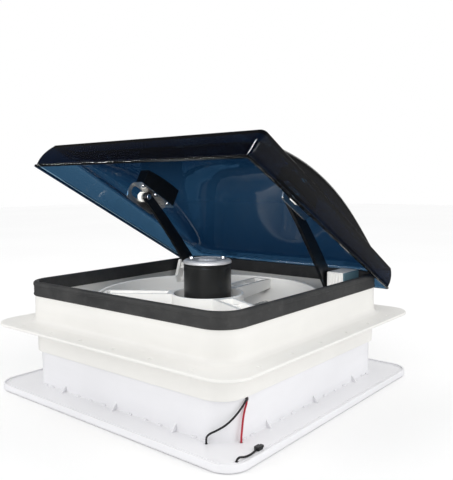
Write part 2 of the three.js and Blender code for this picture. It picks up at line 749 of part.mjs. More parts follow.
function lidShell() {
  const inner = LID_SKIN + 0.4;
  const outside = [
    lipLoop(LID_BEAD, LID_CORNER, 0),
    lipLoop(LID_BEAD, LID_CORNER, 2),
    lipLoop(0, LID_CORNER, 3),
    ...SKIRT_SHARES.map((share) => skirtLoop(0, share)),
    plateLoop(0, LID_TOP - 2),
    plateLoop(1.6, LID_TOP),
    ...crownLoops(0),
  ];
  const inside = [
    ...crownLoops(LID_SKIN).reverse(),
    plateLoop(inner, LID_TOP - LID_SKIN),
    ...SKIRT_SHARES.map((share) => skirtLoop(inner, share)).reverse(),
    lidLoop(
      LID_FRONT_LIP + inner, LID_BACK - LID_SKIN, LID_HALF - LID_SKIN, LID_CORNER - LID_SKIN,
      (x, y) => lipHeight(y),
    ),
  ];
  // the two crown summits close with small lids of their own
  return cappedShell(outside, inside);
}

// Outside loops run from the lip to the summit, inside loops from the summit to the lip.
function cappedShell(outside, inside) {
  const count = outside[0].length;
  const loops = [...outside, ...inside];
  const positions = loops.flat().flatMap((p) => [p.x, p.y, p.z]);
  const index = [];
  loops.forEach((_, row) => {
    if (row === outside.length - 1) {
      return;
    }
    const here = row * count;
    const above = ((row + 1) % loops.length) * count;
    for (let i = 0; i < count; i += 1) {
      const j = (i + 1) % count;
      index.push(here + i, here + j, above + j);
      index.push(here + i, above + j, above + i);
    }
  });
  const closeSummit = (row, outward) => {
    const loop = loops[row];
    const centre = positions.length / 3;
    const middle = loop.reduce((sum, p) => sum.add(p), new THREE.Vector3()).divideScalar(count);
    positions.push(middle.x, middle.y, middle.z);
    for (let i = 0; i < count; i += 1) {
      const j = (i + 1) % count;
      const a = row * count + i;
      const b = row * count + j;
      index.push(centre, outward ? a : b, outward ? b : a);
    }
  };
  closeSummit(outside.length - 1, true);
  closeSummit(outside.length, false);
  const geometry = new THREE.BufferGeometry();
  geometry.setAttribute('position', new THREE.Float32BufferAttribute(positions, 3));
  geometry.setIndex(index);
  geometry.computeVertexNormals();
  return geometry;
}

// The holes that the bracket's screws pass through, in the leaf and in the spacer.
function bracketScrewHoles(side) {
  return BRACKET_SCREW_YS.map((y) => {
    const hole = rod(SCREW_SHANK_RADIUS + GAP, BRACKET_TOP - 5, BRACKET_TOP + 12, 12);
    return hole.translate(side * BRACKET_SCREW_X, y, 0);
  });
}

// A black block between the crown's inner face and the lift bracket.
function bracketSpacer(side) {
  const ys = [14, -4, -22, -40, -58];
  const innerCrown = [CROWN_HALF_X - LID_SKIN, CROWN_HALF_Y - LID_SKIN, CROWN_HEIGHT];
  const roof = ys.map((y) => {
    const under = crownHeight(CROWN_HALF_X * 0.72, y, ...innerCrown);
    return [y, LID_TOP - LID_SKIN + under - 1.1];
  });
  const base = BRACKET_TOP + GAP;
  const ends = [[ys[4], base], [ys[0], base]];
  const body = sidePlate([...ends, ...roof], side * LIFT_X - 9, side * LIFT_X + 9);
  return cut(body, ...bracketScrewHoles(side));
}

// A pressed angle: the top leaf is screwed to the spacer and the side flange has the pin's slot.
function lidBracket(side) {
  const fold = BRACKET_TOP - 0.5;
  const [xA, xB] = [side * (LIFT_X - 9), side * BRACKET_X].sort((a, b) => a - b);
  const leaf = block(xA, BRACKET_FRONT, BRACKET_TOP - BRACKET_SKIN, xB, BRACKET_BACK, BRACKET_TOP);
  const flangeOutline = [[BRACKET_FRONT, fold], [-64, 150], [-60, 143], [-50, BRACKET_BOTTOM],
    [-4, BRACKET_BOTTOM], [BRACKET_BACK, fold]];
  const x0 = side > 0 ? BRACKET_X - BRACKET_SKIN : -BRACKET_X;
  const flange = sidePlate(flangeOutline, x0, x0 + BRACKET_SKIN);
  const reach = PIN_RADIUS + 0.7;
  const slot = sidePlate(barOutline(
    new THREE.Vector2(SLOT_FRONT - 0.6, SLOT_Z),
    new THREE.Vector2(SLOT_BACK + 0.6, SLOT_Z),
    reach, reach, 0, 1,
  ), x0 - 1, x0 + BRACKET_SKIN + 1);
  return cut(join(leaf, flange), slot, ...bracketScrewHoles(side));
}

// A dome-headed screw driven upwards through the leaf into the spacer.
function bracketScrew() {
  const under = BRACKET_TOP - BRACKET_SKIN - GAP;
  return turned([[0, under - 2], [1.6, under - 1.8], [2.6, under - 0.9], [2.6, under],
    [SCREW_SHANK_RADIUS, under], [SCREW_SHANK_RADIUS, BRACKET_TOP + 8], [0, BRACKET_TOP + 9.4]], 12);
}

// ---------------------------------------------------------------- lift arms and drive

const LIFT_TOP = new THREE.Vector2(
  LIFT_Y - ARM_LENGTH * Math.cos(ARM_OPEN),
  LIFT_Z + ARM_LENGTH * Math.sin(ARM_OPEN),
);
const LIFT_PIVOT = new THREE.Vector2(LIFT_Y, LIFT_Z);

function liftArm(side) {
  const bar = sidePlate(
    barOutline(LIFT_PIVOT, LIFT_TOP, ARM_WIDTH / 2, ARM_TIP_WIDTH / 2, ARM_BOW),
    side * LIFT_X - ARM_SKIN / 2,
    side * LIFT_X + ARM_SKIN / 2,
  );
  const bores = [[PIVOT_RADIUS, LIFT_PIVOT], [PIN_RADIUS, LIFT_TOP]].map(([radius, at]) => (
    crossRod(radius + GAP, side * LIFT_X - 5, side * LIFT_X + 5, at.x, at.y)
  ));
  return cut(bar, ...bores);
}

function armPin(side) {
  const innerEnd = LIFT_X - ARM_SKIN / 2 - 2.5;
  const outerEnd = BRACKET_X + 3;
  const pin = crossRod(PIN_RADIUS, innerEnd, outerEnd, LIFT_TOP.x, LIFT_TOP.y);
  const head = crossRod(4.4, innerEnd - 0.5, LIFT_X - ARM_SKIN / 2 - GAP, LIFT_TOP.x, LIFT_TOP.y);
  const rivet = join(pin, head);
  return side > 0 ? rivet : rivet.scale(-1, 1, 1);
}

// A mirrored solid needs its faces turned back outwards.
function mirrored(geometry) {
  const solid = toManifold(geometry);
  return toGeometry(solid.mirror([1, 0, 0]));
}

// The pivot post in the left rear corner: a foot on the shroud, a ribbed upright and a bored head.
function pivotPost() {
  const foot = block(-164, 98, SHROUD_TOP + GAP, -140, 138, SHROUD_TOP + 5);
  const upright = sidePlate([[102, 104], [134, 104], [128, 146], [108, 146]], -146, -140);
  const brace = sidePlate([[115, 104], [121, 104], [121, 140], [115, 140]], -164, -144);
  const chamfer = new THREE.BoxGeometry(60, 60, 60).rotateY(-0.5).translate(-185, 118, 152);
  const bore = crossRod(PIVOT_RADIUS + GAP, -150, -130, LIFT_Y, LIFT_Z);
  const clearance = crossRod(PIVOT_RADIUS + 4, -160, -145.9, LIFT_Y, LIFT_Z);
  return cut(join(foot, upright, brace), chamfer, bore, clearance);
}

function pivotPin() {
  const pin = crossRod(PIVOT_RADIUS, -150, -122, LIFT_Y, LIFT_Z);
  const head = crossRod(PIVOT_RADIUS + 3, -125.5 + GAP, -120.5, LIFT_Y, LIFT_Z);
  return join(pin, head);
}

// The box is open on its outer side; the cover closes it.
function gearboxHousing() {
  const b = BOX;
  const outer = block(b.x0, b.y0, b.z0, b.x1, b.y1, b.z1);
  const [y0, y1, z0, z1] = [b.y0 + b.skin, b.y1 - b.skin, b.z0 + b.skin, b.z1 - b.skin];
  const inner = block(b.x0 + b.skin, y0, z0, b.x1 + 1, y1, z1);
  const ribs = [0, 1, 2, 3, 4].map((i) => {
    const x = b.x0 + 2 + i * 4.6;
    return block(x, b.y0 - 1.4, b.z0 + 6, x + 2, b.y0 + 0.5, b.z1 - 1);
  });
  const bore = crossRod(PIVOT_RADIUS + GAP, b.x0 - 1, b.x0 + b.skin + 1, LIFT_Y, LIFT_Z);
  return cut(join(outer, ...ribs), inner, bore);
}

function gearboxCover() {
  const b = BOX;
  const face = b.x1 + GAP;
  const inset = (x0, x1, by) => block(x0, b.y0 + by, b.z0 + by, x1, b.y1 - by, b.z1 - by);
  const sheet = inset(face, face + b.skin, 0);
  const rim = inset(b.x1 - 2, face + 1, b.skin + GAP);
  const hollow = inset(b.x1 - 3, face, b.skin + 2);
  return cut(join(sheet, rim), hollow);
}

function outputShaft() {
  return crossRod(PIVOT_RADIUS, LIFT_X - ARM_SKIN / 2 - 3, BOX.x1 - 5, LIFT_Y, LIFT_Z);
}

function liftGear() {
  const tooth = [[-0.35, GEAR_ROOT_RADIUS], [-0.16, GEAR_TIP_RADIUS],
    [0.16, GEAR_TIP_RADIUS], [0.35, GEAR_ROOT_RADIUS]];
  const points = [];
  for (let i = 0; i < GEAR_TEETH; i += 1) {
    tooth.forEach(([offset, radius]) => {
      const angle = 2 * Math.PI * (i + offset) / GEAR_TEETH;
      points.push([LIFT_Y + radius * Math.cos(angle), LIFT_Z + radius * Math.sin(angle)]);
    });
  }
  const wheel = sidePlate(points, BOX.x0 + BOX.skin + 2, BOX.x0 + BOX.skin + 8);
  return cut(wheel, crossRod(PIVOT_RADIUS + GAP, BOX.x0, BOX.x1, LIFT_Y, LIFT_Z));
}

// A small can lying along Y behind the gearbox; its boss meets the box.
function liftMotor() {
  const half = LIFT_MOTOR_LENGTH / 2;
  const can = new THREE.CylinderGeometry(LIFT_MOTOR_RADIUS, LIFT_MOTOR_RADIUS, LIFT_MOTOR_LENGTH, 24);
  const boss = new THREE.CylinderGeometry(5, 5, 4, 16).translate(0, -half - 1.5, 0);
  return join(can, boss).translate(147, BOX.y1 + 3.8 + half, 122);
}

// ---------------------------------------------------------------- hinges

// Both leaves are drawn at x = 0 in the closed position.
function hingeBase() {
  const end = BASE_KNUCKLE_END;
  const sheet = block(-18, COLLAR_ROOT_HALF + GAP + 0.1, 101, 18, COLLAR_ROOT_HALF + 2.4, 117);
  const shelf = block(-end, COLLAR_ROOT_HALF + 1, 112, end, HINGE_Y + KNUCKLE_RADIUS, 115);
  const web = block(-end, HINGE_Y - 2, 113, end, HINGE_Y + KNUCKLE_RADIUS - 0.4, HINGE_Z);
  const knuckle = crossRod(KNUCKLE_RADIUS, -end, end, HINGE_Y, HINGE_Z);
  const gapEnd = LEAF_KNUCKLE_END + 0.5;
  const middle = block(-gapEnd, HINGE_Y - 6, 116, gapEnd, HINGE_Y + 6, HINGE_Z + 6);
  const bore = crossRod(HINGE_PIN_RADIUS + GAP, -20, 20, HINGE_Y, HINGE_Z, 16);
  return cut(join(sheet, shelf, web, knuckle), middle, bore);
}

function hingeLeaf() {
  const face = LID_BACK + GAP;
  const leaf = block(-17, face, 130, 17, face + 1.8, LID_TOP - 5);
  const end = LEAF_KNUCKLE_END;
  const neck = block(-end, face, HINGE_Z, end, face + 1.8, 131);
  const web = block(-end, face, HINGE_Z - 1.5, end, HINGE_Y, HINGE_Z + 2);
  const knuckle = crossRod(KNUCKLE_RADIUS, -end, end, HINGE_Y, HINGE_Z);
  const bore = crossRod(HINGE_PIN_RADIUS + GAP, -20, 20, HINGE_Y, HINGE_Z, 16);
  return cut(join(leaf, neck, web, knuckle), bore);
}

function hingePin() {
  const pin = crossRod(HINGE_PIN_RADIUS, -17.6, 17.6, HINGE_Y, HINGE_Z, 16);
  const head = crossRod(HINGE_PIN_RADIUS + 1.2, BASE_KNUCKLE_END + GAP, 18.4, HINGE_Y, HINGE_Z, 16);
  return join(pin, head);
}

// ---------------------------------------------------------------- leads

function blackLead() {
  return tube([
    [...LEAD_EXITS.black, BACK_TOP - 1.6],
    [148.2, -175.6, 14],
    [152.5, -176.3, 19.5],
    [160, -172.6, 24.5],
    [167, -167, 30],
    [172, -159.5, 37],
    [174.2, -150, 44.5],
    [174.3, -143, 49.6],
    [172.9, -137.6, 51.2],
    [169.6, -135.2, 51.2],
  ], LEAD_RADIUS);
}

function redLead() {
  return tube([
    [...LEAD_EXITS.red, BACK_TOP - 1.6],
    [174.5, -149.8, 14],
    [174.4, -148.4, 22],
    [174.2, -146.4, 32],
    [173.8, -143, 41],
    [173.2, -139.2, 46.4],
    [171.8, -137, 48.6],
    [169.6, -136, 48.8],
  ], LEAD_RADIUS);
}

function connectorLead() {
  const rest = BACK_TOP + LEAD_RADIUS + GAP;
  return tube([
    [...LEAD_EXITS.connector, BACK_TOP - 1.6],
    [198, -187.6, rest],
    [198.5, -184.5, rest + 1.6],
    [200, -178, rest + 0.4],
    [201, -171, rest],
    [200.2, -163, rest],
    [199, -157.2, rest],
  ], LEAD_RADIUS);
}

function leadConnector() {
  const base = BACK_TOP + GAP;
  const body = block(196, -156.9, base, 202, -149.5, base + 4);
  const nose = block(197, -150, base + 0.6, 201, -146.4, base + 3.4);
  return join(body, nose);
}

// ---------------------------------------------------------------- assembly

add(vent, 'roof_base', roofBase(), warmWhite);
add(vent, 'rim_seal', rimSeal(), blackRubber);
add(vent, 'trim_bezel', trimBezel(), coolWhite);
add(vent, 'trim_frame', trimFrame(), coolWhite);
add(vent, 'inner_panel', innerPanel(), coolWhite);
add(vent, 'touch_pad', touchPad(), coolWhite);
eachSide((turn, side) => {
  const half = LIGHT_LENGTH / 2 - 4;
  const board = block(-half, -LIGHT_CENTRE - 9, 4, half, -LIGHT_CENTRE + 9, 5.4);
  const diffuser = plate(lightOutline(-GAP), 0.4, 3.6);
  add(vent, `led_diffuser_${side + 1}`, diffuser.rotateZ(turn), lightPlastic);
  add(vent, `led_board_${side + 1}`, board.rotateZ(turn), boardWhite);
});
PANEL_SCREWS.forEach(([x, y], i) => {
  add(vent, `panel_screw_${i + 1}`, panelScrew().translate(x, y, 0), steel);
});

add(vent, 'fan_shroud', fanShroud(), warmWhite);
add(vent, 'duct_ring', ductRing(), warmWhite);
add(vent, 'motor_mount', motorMount(), warmWhite);
add(vent, 'motor_can', motorCan(), blackPaint);
add(vent, 'motor_end_cap', motorEndCap(), steel);
[-1, 1].forEach((side, i) => {
  add(vent, `motor_bolt_${i + 1}`, motorBolt().translate(side * 17, side * 14, 0), steel);
});
add(vent, 'fan_shaft', fanShaft(), steel);
add(vent, 'fan_impeller', fanImpeller(), smokedFan);
add(vent, 'fan_nut', fanNut(), steel);

addToLid('lid_shell', lidShell(), smokedPlastic);
[-1, 1].forEach((side) => {
  const hand = side < 0 ? 'left' : 'right';
  addToLid(`bracket_spacer_${hand}`, bracketSpacer(side), blackPaint);
  addToLid(`lid_bracket_${hand}`, lidBracket(side), steel);
  BRACKET_SCREW_YS.forEach((y, i) => {
    const screw = bracketScrew().translate(side * BRACKET_SCREW_X, y, 0);
    addToLid(`bracket_screw_${hand}_${i + 1}`, screw, steel);
  });
  add(vent, `lift_arm_${hand}`, liftArm(side), blackPaint);
  add(vent, `arm_pin_${hand}`, side > 0 ? armPin(1) : mirrored(armPin(1)), steel);
  add(vent, `hinge_base_${hand}`, hingeBase().translate(side * HINGE_X, 0, 0), blackPaint);
  addToLid(`hinge_leaf_${hand}`, hingeLeaf().translate(side * HINGE_X, 0, 0), blackPaint);
  add(vent, `hinge_pin_${hand}`, hingePin().translate(side * HINGE_X, 0, 0), steel);
});

add(vent, 'pivot_post', pivotPost(), warmWhite);
add(vent, 'pivot_pin', pivotPin(), steel);
add(vent, 'gearbox_housing', gearboxHousing(), warmWhite);
add(vent, 'gearbox_cover', gearboxCover(), greyPlastic);
add(vent, 'output_shaft', outputShaft(), steel);
add(vent, 'lift_gear', liftGear(), lightPlastic);
add(vent, 'lift_motor', liftMotor(), steel);

add(vent, 'black_lead', blackLead(), blackWire);
add(vent, 'red_lead', redLead(), redWire);
add(vent, 'connector_lead', connectorLead(), blackWire);
add(vent, 'lead_connector', leadConnector(), blackWire);

export default vent;
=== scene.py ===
"""The looks of a powered roof vent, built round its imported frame.

Shapes are written in millimetres in the frame's own axes: +Z up, hinges at +Y, the lid opening at -Y.
Pieces on the lid are drawn where the shut lid would be and then swung open with it.
"""
import json
from math import atan2, cos, pi, radians, sin, sqrt

import bmesh
import bpy
from mathutils import Matrix, Vector
from mathutils.geometry import tessellate_polygon
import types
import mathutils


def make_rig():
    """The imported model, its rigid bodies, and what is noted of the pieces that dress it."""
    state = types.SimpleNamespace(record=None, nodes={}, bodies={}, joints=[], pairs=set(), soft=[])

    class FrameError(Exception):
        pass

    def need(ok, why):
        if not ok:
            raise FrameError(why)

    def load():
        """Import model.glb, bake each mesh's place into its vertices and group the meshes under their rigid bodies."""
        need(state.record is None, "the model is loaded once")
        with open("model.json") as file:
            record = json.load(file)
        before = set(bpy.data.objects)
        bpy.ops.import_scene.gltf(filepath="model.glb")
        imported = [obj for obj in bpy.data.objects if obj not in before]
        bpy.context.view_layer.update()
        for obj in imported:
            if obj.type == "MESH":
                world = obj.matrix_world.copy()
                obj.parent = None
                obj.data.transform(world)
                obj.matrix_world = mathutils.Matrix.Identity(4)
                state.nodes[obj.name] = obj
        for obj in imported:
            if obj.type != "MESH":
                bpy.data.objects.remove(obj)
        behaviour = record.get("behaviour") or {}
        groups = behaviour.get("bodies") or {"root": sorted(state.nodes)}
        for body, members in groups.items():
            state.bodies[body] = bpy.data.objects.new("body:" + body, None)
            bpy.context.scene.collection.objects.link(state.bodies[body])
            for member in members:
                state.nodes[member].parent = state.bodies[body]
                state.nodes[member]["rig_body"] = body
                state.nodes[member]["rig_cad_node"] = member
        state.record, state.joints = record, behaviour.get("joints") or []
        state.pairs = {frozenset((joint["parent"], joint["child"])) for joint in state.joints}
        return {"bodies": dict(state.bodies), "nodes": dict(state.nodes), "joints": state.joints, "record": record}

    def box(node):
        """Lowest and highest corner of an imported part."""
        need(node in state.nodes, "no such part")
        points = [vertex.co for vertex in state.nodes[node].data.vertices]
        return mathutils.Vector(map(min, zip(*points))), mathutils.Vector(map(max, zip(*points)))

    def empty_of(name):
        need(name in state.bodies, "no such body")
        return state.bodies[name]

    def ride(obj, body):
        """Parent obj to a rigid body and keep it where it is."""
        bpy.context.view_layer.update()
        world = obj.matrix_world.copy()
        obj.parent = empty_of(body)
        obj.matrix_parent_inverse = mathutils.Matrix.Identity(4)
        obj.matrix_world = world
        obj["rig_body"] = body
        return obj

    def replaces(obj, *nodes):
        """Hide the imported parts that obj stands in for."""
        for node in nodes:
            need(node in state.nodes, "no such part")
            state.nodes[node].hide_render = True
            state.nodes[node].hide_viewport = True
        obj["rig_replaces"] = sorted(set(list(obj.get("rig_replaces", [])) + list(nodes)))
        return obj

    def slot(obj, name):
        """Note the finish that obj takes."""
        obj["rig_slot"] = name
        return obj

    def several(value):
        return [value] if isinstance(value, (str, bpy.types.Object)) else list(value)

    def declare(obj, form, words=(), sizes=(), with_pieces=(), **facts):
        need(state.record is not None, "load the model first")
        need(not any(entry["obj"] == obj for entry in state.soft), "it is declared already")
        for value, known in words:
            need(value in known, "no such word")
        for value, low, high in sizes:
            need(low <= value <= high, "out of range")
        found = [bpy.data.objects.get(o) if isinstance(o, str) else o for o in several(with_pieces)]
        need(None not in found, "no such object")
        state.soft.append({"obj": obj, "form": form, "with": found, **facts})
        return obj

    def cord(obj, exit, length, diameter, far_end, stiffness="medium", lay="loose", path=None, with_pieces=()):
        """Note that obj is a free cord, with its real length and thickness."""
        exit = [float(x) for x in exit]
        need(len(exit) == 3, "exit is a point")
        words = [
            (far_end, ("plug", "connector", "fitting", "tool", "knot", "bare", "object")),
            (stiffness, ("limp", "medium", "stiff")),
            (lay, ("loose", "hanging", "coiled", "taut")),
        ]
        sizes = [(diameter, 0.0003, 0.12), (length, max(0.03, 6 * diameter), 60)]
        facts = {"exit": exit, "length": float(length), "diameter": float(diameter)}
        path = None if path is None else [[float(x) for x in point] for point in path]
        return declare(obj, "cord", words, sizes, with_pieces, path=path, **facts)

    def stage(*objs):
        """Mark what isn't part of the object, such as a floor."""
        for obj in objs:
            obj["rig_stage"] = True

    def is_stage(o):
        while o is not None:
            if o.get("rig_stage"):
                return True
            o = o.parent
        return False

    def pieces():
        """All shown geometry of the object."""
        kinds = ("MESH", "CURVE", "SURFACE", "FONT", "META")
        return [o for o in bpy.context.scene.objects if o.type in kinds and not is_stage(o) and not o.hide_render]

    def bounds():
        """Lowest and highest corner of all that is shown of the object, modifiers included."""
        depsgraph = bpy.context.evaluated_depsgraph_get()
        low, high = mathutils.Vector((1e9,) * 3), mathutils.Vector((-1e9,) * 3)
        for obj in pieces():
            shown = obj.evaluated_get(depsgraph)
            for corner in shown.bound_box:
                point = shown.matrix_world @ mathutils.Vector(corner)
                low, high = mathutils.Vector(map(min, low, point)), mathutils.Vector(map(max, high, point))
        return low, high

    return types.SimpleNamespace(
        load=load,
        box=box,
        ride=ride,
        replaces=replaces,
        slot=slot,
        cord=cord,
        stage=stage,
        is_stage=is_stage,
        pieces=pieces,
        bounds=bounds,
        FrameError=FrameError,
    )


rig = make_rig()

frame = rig.load()
cad_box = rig.bounds()

MM = 0.001
QUARTERS = [i * pi / 2 for i in range(4)]


def span(node):
    """Lowest and highest corner of a CAD node, in millimetres."""
    low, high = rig.box(node)
    return low / MM, high / MM


# ---- measures taken from the frame

BASE_LOW, BASE_HIGH = span("roof_base")
SEAL_LOW, SEAL_HIGH = span("rim_seal")
TRIM_LOW, TRIM_HIGH = span("trim_bezel")
WALL_LOW, WALL_HIGH = span("trim_frame")
PANEL_LOW, PANEL_HIGH = span("inner_panel")
SHROUD_LOW, SHROUD_HIGH = span("fan_shroud")
MOUNT_LOW, MOUNT_HIGH = span("motor_mount")
MOTOR_LOW, MOTOR_HIGH = span("motor_can")
CAP_LOW, CAP_HIGH = span("motor_end_cap")
BOX_LOW, BOX_HIGH = span("gearbox_housing")

SHEET_TOP = 103.0
DUCT_TOP = span("duct_ring")[1].z

HINGE = Vector((0, 188, 122.5))
LID_OPEN = radians(30)
LIFT = Vector((128, 118, 127))
PIVOT = LIFT.yz
PIVOT_RADIUS = 5.0


# ---- camera

def put(thing, **values):
    """Sets several attributes at once."""
    for key, value in values.items():
        setattr(thing, key, value)
    return thing


def in_scene(name, data):
    thing = bpy.data.objects.new(name, data)
    bpy.context.scene.collection.objects.link(thing)
    return thing


def heading(azimuth, elevation):
    """The direction of an azimuth and an elevation in degrees."""
    a, e = radians(azimuth), radians(elevation)
    return Vector((sin(a) * cos(e), -cos(a) * cos(e), sin(e)))


def add_camera():
    """A camera low off the near corner, with a long lens."""
    camera = in_scene("camera", bpy.data.cameras.new("camera"))
    roll = radians(0.63)
    back = heading(40.50, 6.38)
    camera.location = Vector((0.0088, 0, 0.1876)) + back * 0.839
    camera.rotation_mode = "QUATERNION"
    facing = (-back).to_track_quat("-Z", "Y")
    camera.rotation_quaternion = facing @ Matrix.Rotation(-roll, 3, "Z").to_quaternion()
    put(camera.data, sensor_width=36, lens=45.59, shift_x=0.0302, shift_y=0.0195)
    put(camera.data, clip_start=0.02, clip_end=50)
    bpy.context.scene.camera = camera


add_camera()


# ---- materials

class Shader:
    """A material's node tree with one Principled shader, and short ways to feed it."""

    def __init__(self, name):
        self.material = bpy.data.materials.new(name)
        self.material.use_nodes = True
        self.tree = self.material.node_tree
        self.out = self.tree.nodes["Material Output"]
        self.main = self.tree.nodes["Principled BSDF"]
        self.place = self.new("TexCoord").outputs["Object"]

    def fill(self, node, sockets):
        """Sets a node's sockets to plain values, or links them to other sockets."""
        for key, value in sockets.items():
            if hasattr(value, "links"):
                self.tree.links.new(value, node.inputs[key])
            else:
                node.inputs[key].default_value = value

    def new(self, kind, sockets=None, **values):
        node = put(self.tree.nodes.new("ShaderNode" + kind), **values)
        self.fill(node, sockets or {})
        return node

    def stretched(self, scale):
        """The object's own coordinates, scaled by a different amount along each axis."""
        return self.new("Mapping", {"Scale": scale, "Vector": self.place}).outputs["Vector"]

    def noise(self, scale, detail=3.0, rough=0.5, vector=None, warp=0.0):
        sockets = {"Scale": scale, "Detail": detail, "Roughness": rough, "Distortion": warp}
        return self.new("TexNoise", {**sockets, "Vector": vector or self.place}).outputs["Fac"]

    def cells(self, scale):
        return self.new("TexVoronoi", {"Scale": scale, "Vector": self.place}).outputs["Distance"]

    def span(self, source, low, high, start=0.3, end=0.7):
        """Maps a texture from start..end to low..high."""
        sockets = {"Value": source, "From Min": start, "From Max": end, "To Min": low, "To Max": high}
        return self.new("MapRange", sockets).outputs["Result"]

    def ramp(self, source, *stops):
        """Colours at positions: (position, (r, g, b)), ..."""
        node = self.new("ValToRGB", {"Fac": source})
        for element, (position, colour) in zip(node.color_ramp.elements, stops, strict=True):
            element.position = position
            element.color = (*colour, 1)
        return node.outputs["Color"]

    def mix(self, factor, first, second, blend="MIX"):
        """Two colours, each a socket or (r, g, b)."""
        colours = [c if hasattr(c, "links") else (*c, 1) for c in (first, second)]
        sockets = {0: factor, 6: colours[0], 7: colours[1]}
        return self.new("Mix", sockets, data_type="RGBA", blend_type=blend).outputs[2]

    def bump(self, *layers):
        """Stacks (height texture, depth in metres) layers into one normal."""
        below = {}
        for height, depth in layers:
            node = self.new("Bump", {"Strength": 1, "Distance": depth, "Height": height, **below})
            below = {"Normal": node.outputs["Normal"]}
        self.fill(self.main, below)

    def set(self, **values):
        """Sets or feeds the main shader's sockets; an underscore stands for a space."""
        self.fill(self.main, {key.replace("_", " "): value for key, value in values.items()})


def shaded(colour, amount):
    """The colour made lighter (amount over 1) or darker."""
    return tuple(min(1.0, c * amount) for c in colour)


def moulded(name, colour, rough=(0.36, 0.5), grain=0.00002, spread=0.03, glow=0.0):
    """Moulded plastic: fine grain, slow colour drift, faint flow marks and handling haze."""
    s = Shader(name)
    drift = s.noise(7.0, 4.0, 0.55)
    flow = s.noise(3.0, 3.0, 0.6, s.stretched((1.0, 1.0, 9.0)), 0.6)
    tint = s.ramp(drift, (0.3, shaded(colour, 1 - spread)), (0.7, shaded(colour, 1 + spread)))
    streak = s.ramp(flow, (0.35, (0.965, 0.965, 0.965)), (0.62, (1, 1, 1)))
    haze = s.noise(38.0, 5.0, 0.65)
    s.set(Base_Color=s.mix(1.0, tint, streak, "MULTIPLY"), Roughness=s.span(haze, *rough), IOR=1.49)
    s.set(Subsurface_Weight=glow, Subsurface_Radius=(0.004, 0.004, 0.0035), Subsurface_Scale=1.0)
    s.bump((s.noise(2600.0, 2.0), grain), (s.noise(420.0, 3.0), grain * 0.8), (drift, grain * 6))
    return s.material


def smoked(name, absorb, density, rough=(0.02, 0.05), haze=0.0):
    """Clear smoked plastic, tinted by its depth, with fine wiping marks and moulding ripple."""
    s = Shader(name)
    wipe = s.noise(60.0, 6.0, 0.7, s.stretched((1.0, 6.0, 1.0)), 0.4)
    tint = s.ramp(s.noise(14.0, 3.0), (0.3, (0.93, 0.95, 0.97)), (0.7, (1, 1, 1)))
    s.set(Base_Color=tint, Roughness=s.span(wipe, *rough, 0.35, 0.75), IOR=1.49)
    s.set(Transmission_Weight=1.0 - haze)
    s.bump((s.noise(12.0, 2.0), 0.00004), (s.cells(260.0), 0.000004), (s.noise(900.0, 2.0), 0.000002))
    depth = s.new("VolumeAbsorption", {"Color": (*absorb, 1), "Density": density})
    s.fill(s.out, {"Volume": depth.outputs["Volume"]})
    return s.material


def rubber(name, dark, light, rough=(0.5, 0.72), dust=0.25):
    """Extruded rubber: lengthwise draw lines, a chalky bloom in patches, and fine pores."""
    s = Shader(name)
    bloom = s.noise(16.0, 6.0, 0.65, None, 0.3)
    lines = s.noise(5.0, 3.0, 0.5, s.stretched((2.0, 2.0, 220.0)))
    base = s.ramp(bloom, (0.35, dark), (0.72, light))
    chalk = s.span(s.noise(95.0, 5.0, 0.7), 0.0, dust, 0.5, 0.85)
    s.set(Base_Color=s.mix(chalk, base, shaded(light, 2.2)), Roughness=s.span(bloom, *rough), IOR=1.5)
    s.bump((lines, 0.00009), (s.noise(1700.0, 3.0, 0.6), 0.00004), (bloom, 0.0002))
    return s.material


def painted(name, colour, rough=(0.26, 0.42), peel=0.00003):
    """Baked paint: orange peel, dust nibs and a slight rub on it."""
    s = Shader(name)
    rub = s.noise(24.0, 6.0, 0.7, s.stretched((1, 3, 1)), 0.5)
    tint = s.ramp(rub, (0.3, colour), (0.78, shaded(colour, 1.9)))
    s.set(Base_Color=tint, Roughness=s.span(rub, *rough), IOR=1.5, Coat_Weight=0.25, Coat_Roughness=0.2)
    s.bump((s.noise(620.0, 2.0), peel), (s.cells(340.0), peel * 0.35), (s.noise(38.0, 2.0), peel * 3))
    return s.material


def metal(name, colour, rough=(0.16, 0.34), brush=(1, 1, 1), depth=0.00001, stain=0.12, bare=1.0):
    """Bare or plated metal: brushed or rolled lines, fine scratches and a faint stain."""
    s = Shader(name)
    lines = s.noise(55.0, 6.0, 0.75, s.stretched(brush))
    cloud = s.noise(30.0, 5.0, 0.6, None, 0.4)
    tint = s.ramp(cloud, (0.28, shaded(colour, 1 - stain)), (0.7, colour))
    worn = s.mix(s.span(lines, 0.0, 0.22), tint, shaded(colour, 0.72))
    s.set(Base_Color=worn, Roughness=s.span(cloud, *rough), Metallic=bare)
    s.bump((lines, depth), (s.cells(520.0), depth * 0.6))
    return s.material


# each finish is the record's slot and its material
WARM_WHITE = "warm_white", moulded("warm_white_plastic", (0.875, 0.865, 0.835), (0.34, 0.48))
COOL_WHITE = "cool_white", moulded("cool_white_plastic", (0.88, 0.88, 0.905), (0.3, 0.44))
GREY_PLASTIC = "grey_plastic", moulded("blue_grey_plastic", (0.085, 0.16, 0.20), (0.34, 0.5))
NYLON = "nylon", moulded("natural_nylon", (0.83, 0.82, 0.77), (0.4, 0.55), 0.00003)
DIFFUSER = "light_plastic", moulded("milky_diffuser", (0.93, 0.93, 0.91), (0.42, 0.55), 0.00004, 0.015, 0.3)
PAD_FILM = "cool_white", moulded("pad_film", (0.70, 0.71, 0.74), (0.22, 0.34), 0.00001)
BOARD = "board", moulded("light_board", (0.78, 0.78, 0.74), (0.3, 0.45), 0.00001)
BLACK_PLASTIC = "black_plastic", moulded("black_plastic", (0.011, 0.012, 0.013), (0.4, 0.58), 0.00004, 0.2)
RUBBER = "rubber", rubber("rim_rubber", (0.032, 0.033, 0.035), (0.064, 0.064, 0.063))
